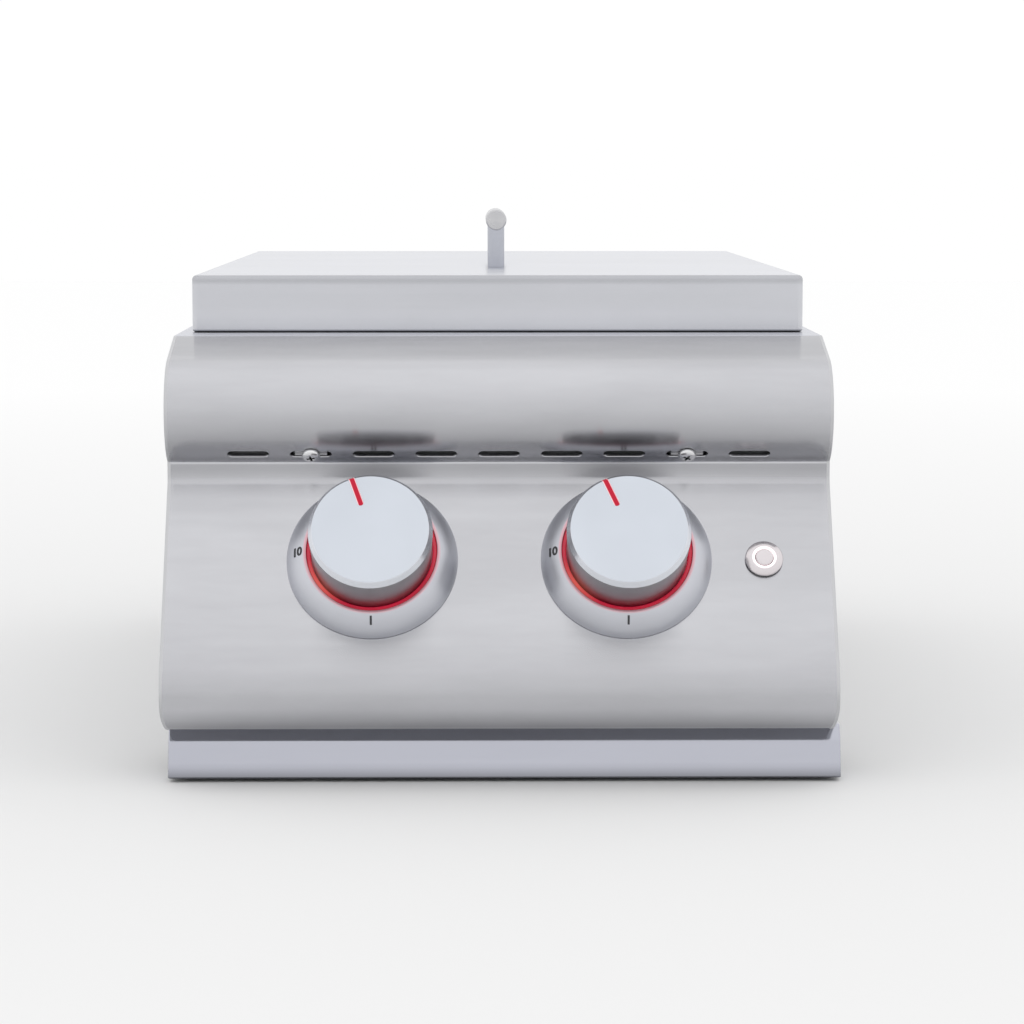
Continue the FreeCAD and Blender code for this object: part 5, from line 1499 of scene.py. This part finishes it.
    def knob(self) -> None:
        """Makes the hollow knob: tapered skirt in a painted shade, chamfer in a painted highlight and spun
        face, with the pointer's slot.
        """
        hub_foot, roof, bore_end = self.foot + 0.002, self.rim - 0.003, self.rim - 0.0045
        inner = self.foot_radius - self.wall
        outline = [(self.bore, hub_foot), (self.hub_radius, hub_foot, 0.0004),
                   (self.hub_radius, roof, 0.0006), (inner, roof, 0.0008), (inner, self.foot),
                   (self.foot_radius, self.foot, 0.0004),
                   (self.radius, self.rim, 0.0003), (self.face_radius, self.face, 0.0003), (0, self.face),
                   (0, bore_end), (self.bore, bore_end)]
        blank = Blank().turned(outline, steps=256, segments=4).trimmed(self.slot(self.pointer_fit))
        blank.placed(self.knob_frame)
        # The skirt's darker colour is painted shade.
        knob = piece(blank, self.side + "_knob_body", self.spun("knob_skirt_painted_shade", (0.36, 0.36, 0.37), 0.30, 0.45),
                     self.body, self.side + "_knob", grain=self.lathe(), sharp=28)
        plane = self.knob_frame.inverted()

        def on_chamfer(point: Vector) -> bool:
            """Tells whether a face's middle lies on the chamfer round the knob's face."""
            middle = plane @ point
            return (self.rim + 0.0001 < middle.z <= self.face - 0.0001
                    and middle.xy.length > self.face_radius - 0.0002)

        paint(knob, self.spun("knob_face", (0.615, 0.65, 0.71), 0.22, 0.85),
              lambda point: (plane @ point).z > self.face - 0.0001)
        # The chamfer's brighter colour is a painted highlight.
        paint(knob, self.spun("knob_edge_painted_highlight", (0.74, 0.76, 0.81), 0.26, 0.4), on_chamfer)

    def pointer(self) -> None:
        """Makes the lit insert that fills the slot."""
        top = self.face - 0.00005
        form = Blank().turned([(0, self.foot), (self.foot_radius, self.foot), (self.radius, self.rim, 0.0003),
                               (self.face_radius, top, 0.0003), (0, top)], steps=256)
        form.trimmed(self.slot(0), Trim.COMMON).placed(self.knob_frame)
        stand = self.knob_frame
        finish = LitPointer(self.side + "_pointer_glow", Slot.RED_LIGHT, (0.36, 0.004, 0.022), 0.3,
                            tuple(stand.translation), tuple(stand.to_3x3() @ X_AXIS), self.pointer_width / 2)
        piece(form, self.side + "_pointer_light", finish, self.body, self.side + "_pointer", sharp=40)


@dataclass
class PushButton:
    """The lit push button at the panel's right."""

    bezel_radius: float = 0.00975
    barrel_radius: float = 0.0079
    barrel: float = 0.022
    gasket_radius: float = 0.0096
    gasket: float = 0.0012
    top: float = 0.0034
    ring_radius: float = 0.0062
    ring_bore: float = 0.00485
    ring_fit: float = 0.00002
    seat: float = 0.0022
    bore: float = 0.0048
    bore_depth: float = 0.006
    cap_radius: float = 0.0045
    cap_top: float = 0.0038
    cap_foot: float = 0.003
    gasket_bore: float = 0.008

    def build(self) -> None:
        """Makes the button's pieces on the sloped face."""
        stand = SIZES.face_frame(SIZES.button_x)
        axis = stand.to_3x3() @ Z_AXIS
        lathe = round_axis(stand.translation, axis)
        shine = SpunMetal("button_metal", Slot.STEEL, (0.69, 0.65, 0.665), 0.22, tuple(stand.translation),
                          tuple(axis), 0.4, 0.06)
        seat, recess = self.seat, self.ring_radius + self.ring_fit
        housing = [(0, -self.barrel), (self.barrel_radius, -self.barrel, 0.0006),
                   (self.barrel_radius, self.gasket), (self.bezel_radius, self.gasket, 0.0002),
                   (self.bezel_radius, 0.0020, 0.0007), (0.0071, self.top, 0.0016),
                   (recess, self.top, 0.0002), (recess, seat), (self.bore, seat),
                   (self.bore, -self.bore_depth), (0, -self.bore_depth)]
        ring = [(self.ring_bore, seat), (self.ring_radius, seat), (self.ring_radius, self.top, 0.0004),
                (self.ring_bore, self.top, 0.0003)]
        cap = [(0, -self.cap_foot), (self.cap_radius, -self.cap_foot, 0.0003),
               (self.cap_radius, self.cap_top - 0.0002, 0.0005), (0.003, self.cap_top, 0.0008),
               (0, self.cap_top)]
        gasket = [(self.gasket_bore, 0), (self.gasket_radius, 0, 0.0002),
                  (self.gasket_radius, self.gasket, 0.0004), (self.gasket_bore, self.gasket)]
        parts = [(housing, "button_bezel", shine, Body.BASE, "button_housing"),
                 (ring, "button_glow_ring", Finishes.BUTTON_RING, Body.BASE, "button_light_ring"),
                 (cap, "button_face", shine, Body.BUTTON, "button_cap"),
                 (gasket, "button_seal", Finishes.RUBBER, Body.BASE, "button_gasket")]
        for outline, name, finish, body, node in parts:
            blank = Blank().turned(outline, steps=96).placed(stand)
            piece(blank, name, finish, body, node, grain=lathe, sharp=45)
        smooth_copy("button_nut", Finishes.BRASS, Body.BASE)


@dataclass
class DripTray:
    """The slide out drip tray: its strip under the panel and its pan."""

    strip_width: float = 0.343
    strip_shift: float = 0.0026
    strip_sheet: float = 0.001
    strip_outline: Outline = ((0.064, 0.0284), (0.0775, 0.0284, 0.0012), (0.0817, 0.0207, 0.0008),
                              (0.086, 0.002, 0.0011), (0.058, 0.002))
    strip_soft: float = 0.0011
    half_width: float = 0.1355
    front: float = -0.3495
    rear: float = 0.250
    foot: float = 0.003
    top: float = 0.0213
    sheet: float = 0.0008
    corner: float = 0.004
    rim: float = 0.013
    rim_front: float = -0.266
    rim_corner: float = 0.003
    rim_lap: float = 0.0004

    def build(self) -> None:
        """Makes the strip and the pan."""
        self.strip()
        self.pan()

    def strip(self) -> None:
        """Makes the folded strip, with its top leaning back under the panel and its ends closed."""
        half = self.strip_width / 2
        origin = Vector((self.strip_shift - half, SIZES.front, 0))
        blank = Blank().prism(self.strip_outline, -Y_AXIS, Z_AXIS, X_AXIS * self.strip_width, origin)
        blank.softened(self.strip_soft, 4, 60,
                       lambda middle: abs(abs(middle.x - self.strip_shift) - half) < 0.0001)
        back = [face for face in blank.mesh.faces if face.normal.y > 0.9]
        bmesh.ops.delete(blank.mesh, geom=back, context="FACES")
        bmesh.ops.solidify(blank.mesh, geom=blank.mesh.faces[:], thickness=self.strip_sheet)
        piece(blank.tidied(), "tray_strip", Finishes.STRIP, Body.TRAY, "drip_tray_front", sharp=30)

    def pan(self) -> None:
        """Makes the pan with the side rims that hang over the runners."""
        def level(inset: float, z: float, rounding: float) -> Ring:
            """Gives a loop of the pan at an inset from its outline."""
            return Ring(self.half_width - inset, self.front + inset, self.rear - inset, z,
                        self.corner - inset, rounding)

        rings = [level(self.sheet, self.foot + self.sheet, 0.0016), level(self.sheet, self.top, 0.00025),
                 level(0, self.top, 0.0), level(0, self.foot, 0.0022)]
        blank = Blank().loft(rings)
        for side in (-1, 1):
            inner, outer = side * (self.half_width - self.rim_lap), side * (self.half_width + self.rim)
            outline = [(inner, self.rim_front), (outer, self.rim_front, self.rim_corner),
                       (outer, self.rear, self.rim_corner), (inner, self.rear)]
            blank.added(Blank().prism(outline, X_AXIS, Y_AXIS, Z_AXIS * self.sheet,
                                      Z_AXIS * (self.top - self.sheet)))
        piece(blank, "tray_pan", Finishes.ZINC, Body.TRAY, "drip_tray_pan")


@dataclass
class BurnerBox:
    """The deck with its drawn burner well, and the sheets of the box under it."""

    half_width: float = 0.1715
    well_half: float = 0.1455
    well_front: float = -0.215
    well_rear: float = 0.258
    well_corner: float = 0.012
    lip: float = 0.008
    ledge_drop: float = 0.010
    ledge_width: float = 0.012
    ledge_soft: float = 0.0004
    foot_round: float = 0.0012
    lip_round: float = 0.00065
    ledge_round: float = 0.0014
    plate_corner: float = 0.0012

    def build(self) -> None:
        """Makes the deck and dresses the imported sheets."""
        self.deck()
        for node in ("left_side_wall", "right_side_wall", "rear_wall", "firewall"):
            dress_node(node, Finishes.SHEET)
        for node in ("box_floor", "housing_floor", "panel_brace", "tray_runners", "burner_rails",
                     "manifold_brackets"):
            dress_node(node, Finishes.ZINC)
        smooth_copy("lead_grommet", Finishes.RUBBER, Body.BASE)

    def level(self, inset: float, z: float, corner: float, rounding: float) -> Ring:
        """Gives a loop of the well at an inset from its outer wall."""
        return Ring(self.well_half - inset, self.well_front + inset, self.well_rear - inset, z, corner,
                    rounding)

    def deck(self) -> None:
        """Makes the deck plate, its raised lip and the ledge that the grates lie on."""
        top = SIZES.deck_height
        sheet = SIZES.deck_sheet
        under, lip, ledge = top - sheet, top + self.lip, top - self.ledge_drop
        corner, inner, opening = self.well_corner, self.well_corner - sheet, sheet + self.ledge_width
        edge = (self.half_width, SIZES.front, SIZES.deck_rear)
        rings = [Ring(*edge, under, self.plate_corner), Ring(*edge, top, self.plate_corner, self.ledge_soft),
                 self.level(0, top, corner, self.foot_round), self.level(0, lip, corner, self.lip_round),
                 self.level(sheet, lip, inner, self.lip_round),
                 self.level(sheet, ledge, inner, self.ledge_round),
                 self.level(opening, ledge, corner, self.ledge_soft),
                 self.level(opening, ledge - sheet, corner, self.ledge_soft),
                 self.level(0, ledge - sheet, corner, self.foot_round), self.level(0, under, corner, 0.0)]
        piece(Blank().loft(rings, closed=True), "deck_plate", Finishes.DECK, Body.BASE, "deck_frame",
              sharp=30)


@dataclass
class Burners:
    """The two burners with their caps, rings and shutters, and the grates over them."""

    front: float = -0.0955
    rear: float = 0.1385
    ring_top: float = 0.1933
    cap_radius: float = 0.0385
    cap_edge: float = 0.0026
    cap_rise: float = 0.0057
    crown: Point = (0.020, 0.0055, 0.011)
    skirt_radius: float = 0.0296
    skirt_bore: float = 0.027
    skirt_drop: float = 0.003
    rod_radius: float = 0.004
    cross_thinner: float = 0.0005
    cross_drop: float = 0.0065
    cross_past: float = 0.008
    rods: int = 7
    rod_sides: int = 16
    half_x: float = 0.138
    half_y: float = 0.112
    low: float = 0.2173
    high: float = 0.233
    bend: float = 0.008
    cross_offset: float = 0.045

    def build(self) -> None:
        """Makes grates and caps, and dresses the castings."""
        for name, y, cap_body, grate_body in (("front", self.front, Body.FRONT_CAP, Body.FRONT_GRATE),
                                              ("rear", self.rear, Body.REAR_CAP, Body.REAR_GRATE)):
            self.cap(name, y, cap_body)
            self.grate(name, y, grate_body)
            smooth_copy(name + "_burner_body", Finishes.IRON, Body.BASE)
        for node, finish, body in (("flame_rings", Finishes.BRASS, Body.BASE),
                                   ("front_air_shutter", Finishes.ALUMINIUM, Body.FRONT_SHUTTER),
                                   ("rear_air_shutter", Finishes.ALUMINIUM, Body.REAR_SHUTTER),
                                   ("igniters", Finishes.CERAMIC, Body.BASE)):
            smooth_copy(node, finish, body)

    def cap(self, name: str, y: float, body: Body) -> None:
        """Makes one domed burner cap with its locating skirt."""
        base, low = self.ring_top, self.ring_top - self.skirt_drop
        crown_radius, crown_rise, crown_round = self.crown
        outline = [(0, base), (self.skirt_bore, base), (self.skirt_bore, low),
                   (self.skirt_radius, low, 0.0005), (self.skirt_radius, base),
                   (self.cap_radius, base, 0.0005), (self.cap_radius, base + self.cap_edge, 0.0012),
                   (crown_radius, base + crown_rise, crown_round), (0, base + self.cap_rise)]
        blank = Blank().turned(outline, steps=96, segments=6).placed(Matrix.Translation((0, y, 0)))
        piece(blank, name + "_cap", Finishes.ENAMEL, body, name + "_burner_cap", sharp=40)

    def grate(self, name: str, y: float, body: Body) -> None:
        """Makes one welded rod grate: a frame on the ledge, bridges over it and cross rods under them."""
        radius = self.rod_radius
        rings = []
        for step in range(self.rod_sides):
            turn = step * 2 * math.pi / self.rod_sides
            out = radius * math.cos(turn)
            rings.append(Ring(self.half_x + out, y - self.half_y - out, y + self.half_y + out,
                              self.low + radius * math.sin(turn), self.bend + out))
        blank = Blank().loft(rings, closed=True)
        pitch = 2 * self.half_x / (self.rods + 1)
        for index in range(self.rods):
            x = (index - (self.rods - 1) / 2) * pitch
            near, far = y - self.half_y, y + self.half_y
            route = [Vector((x, *corner)) for corner in ((near, self.low), (near, self.high),
                                                         (far, self.high), (far, self.low))]
            blank.added(Blank().rod(route, radius, self.bend))
        reach, z = (self.rods - 1) / 2 * pitch + self.cross_past, self.high - self.cross_drop
        for offset in (-self.cross_offset, self.cross_offset):
            ends = [Vector((-reach, y + offset, z)), Vector((reach, y + offset, z))]
            blank.added(Blank().rod(ends, radius - self.cross_thinner))
        piece(blank, name + "_rod_grate", Finishes.ROD, body, name + "_grate", sharp=50)


class GasTrain:
    """The valves, pipes, jets and ignition parts behind the panel."""

    def build(self) -> None:
        """Gives each part its finish. A valve's spring rides on no body, and its place is baked into its
        mesh.
        """
        for side, plug, knob in (("left", Body.LEFT_PLUG, Body.LEFT_KNOB),
                                 ("right", Body.RIGHT_PLUG, Body.RIGHT_KNOB)):
            smooth_copy(side + "_valve_body", Finishes.ALUMINIUM, Body.BASE)
            smooth_copy(side + "_valve_plug", Finishes.BRASS, plug)
            smooth_copy(side + "_valve_stem", Finishes.BRASS, knob)
            spring = smooth_copy(side + "_valve_spring", Finishes.SCREW, None)
            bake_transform(spring)
        for node, finish in (("gas_jets", Finishes.BRASS), ("gas_inlet_fitting", Finishes.BRASS),
                             ("gas_manifold", Finishes.ZINC), ("gas_feed_pipe", Finishes.ZINC),
                             ("ignition_module", Finishes.PLASTIC), ("ignition_leads", Finishes.LEAD)):
            smooth_copy(node, finish, Body.BASE)


@dataclass
class Studio:
    """Pale floor, soft surroundings and the camera."""

    floor_size: float = 14.0
    shaded_near_colour: Colour = (0.82, 0.82, 0.82)
    far_colour: Colour = (0.90, 0.90, 0.90)
    near: float = 0.7
    far: float = 2.6
    brightest: float = 1.16
    sky: tuple[tuple[float, float], ...] = ((0.0, 0.863), (0.16, 0.89), (0.62, 0.945), (1.0, 1.0))
    eye: Point = (-0.012, -1.965, 0.3104)
    pitch: float = math.radians(6.10)
    yaw: float = math.radians(0.65)
    lens: float = 112.7
    sensor: float = 36.0

    def build(self) -> None:
        """Makes the floor, the surroundings and the camera."""
        self.floor()
        self.surroundings()
        self.camera()
        bpy.context.scene.view_settings.view_transform = "Standard"

    def floor(self) -> None:
        """Lays the floor, in one pale paint with painted shade near the burner that pales further with
        distance.
        """
        blank = Blank()
        bmesh.ops.create_grid(blank.mesh, x_segments=1, y_segments=1, size=self.floor_size / 2)
        floor = blank.thing("floor")
        shader = Shader("floor_paint")
        away = shader.node("ShaderNodeVectorMath", {0: shader.place}, operation="LENGTH").outputs["Value"]
        # Painted shade: the floor is darker within reach of the burner.
        share = shader.spread(away, 0.0, 1.0, self.near, self.far)
        paint = shader.ramp(share, [(0.0, self.shaded_near_colour), (1.0, self.far_colour)])
        rough = shader.spread(shader.noise(shader.place, 40.0), 0.9, 1.0)
        shader.set(Base_Color=paint, Roughness=rough, Specular_IOR_Level=0.0)
        floor.data.materials.append(shader.material)

    def surroundings(self) -> None:
        """Gives soft light that is white at the horizon and brightest overhead."""
        world = bpy.data.worlds.new("studio")
        bpy.context.scene.world = world
        world.use_nodes = True
        nodes, links = world.node_tree.nodes, world.node_tree.links
        back = nodes["Background"]
        place = nodes.new("ShaderNodeTexCoord")
        parts = nodes.new("ShaderNodeSeparateXYZ")
        ramp = nodes.new("ShaderNodeValToRGB")
        for index, (height, level) in enumerate(self.sky):
            element = ramp.color_ramp.elements[index] if index < 2 else ramp.color_ramp.elements.new(height)
            element.position = height
            element.color = (level, level, level, 1.0)
        links.new(place.outputs["Generated"], parts.inputs[0])
        links.new(parts.outputs["Z"], ramp.inputs["Fac"])
        links.new(ramp.outputs["Color"], back.inputs["Color"])
        back.inputs["Strength"].default_value = self.brightest

    def camera(self) -> None:
        """Stands the camera where the photograph was taken from."""
        data = bpy.data.cameras.new("eye")
        data.lens = self.lens
        data.sensor_width = self.sensor
        camera = bpy.data.objects.new("eye", data)
        camera.location = self.eye
        camera.rotation_euler = (math.pi / 2 - self.pitch, 0, -self.yaw)
        bpy.context.scene.collection.objects.link(camera)
        bpy.context.scene.camera = camera


def main() -> None:
    """Builds every sub-assembly and the studio."""
    logging.basicConfig(level=logging.INFO, format="%(name)s: %(message)s")
    BurnerBox().build()
    Burners().build()
    GasTrain().build()
    ControlHousing().build()
    KnobSet("left", -SIZES.knob_x, 19.0, Body.LEFT_KNOB).build()
    KnobSet("right", SIZES.knob_x, 23.0, Body.RIGHT_KNOB).build()
    PushButton().build()
    DripTray().build()
    Lid().build()
    Studio().build()


if __name__ == "__main__":
    main()
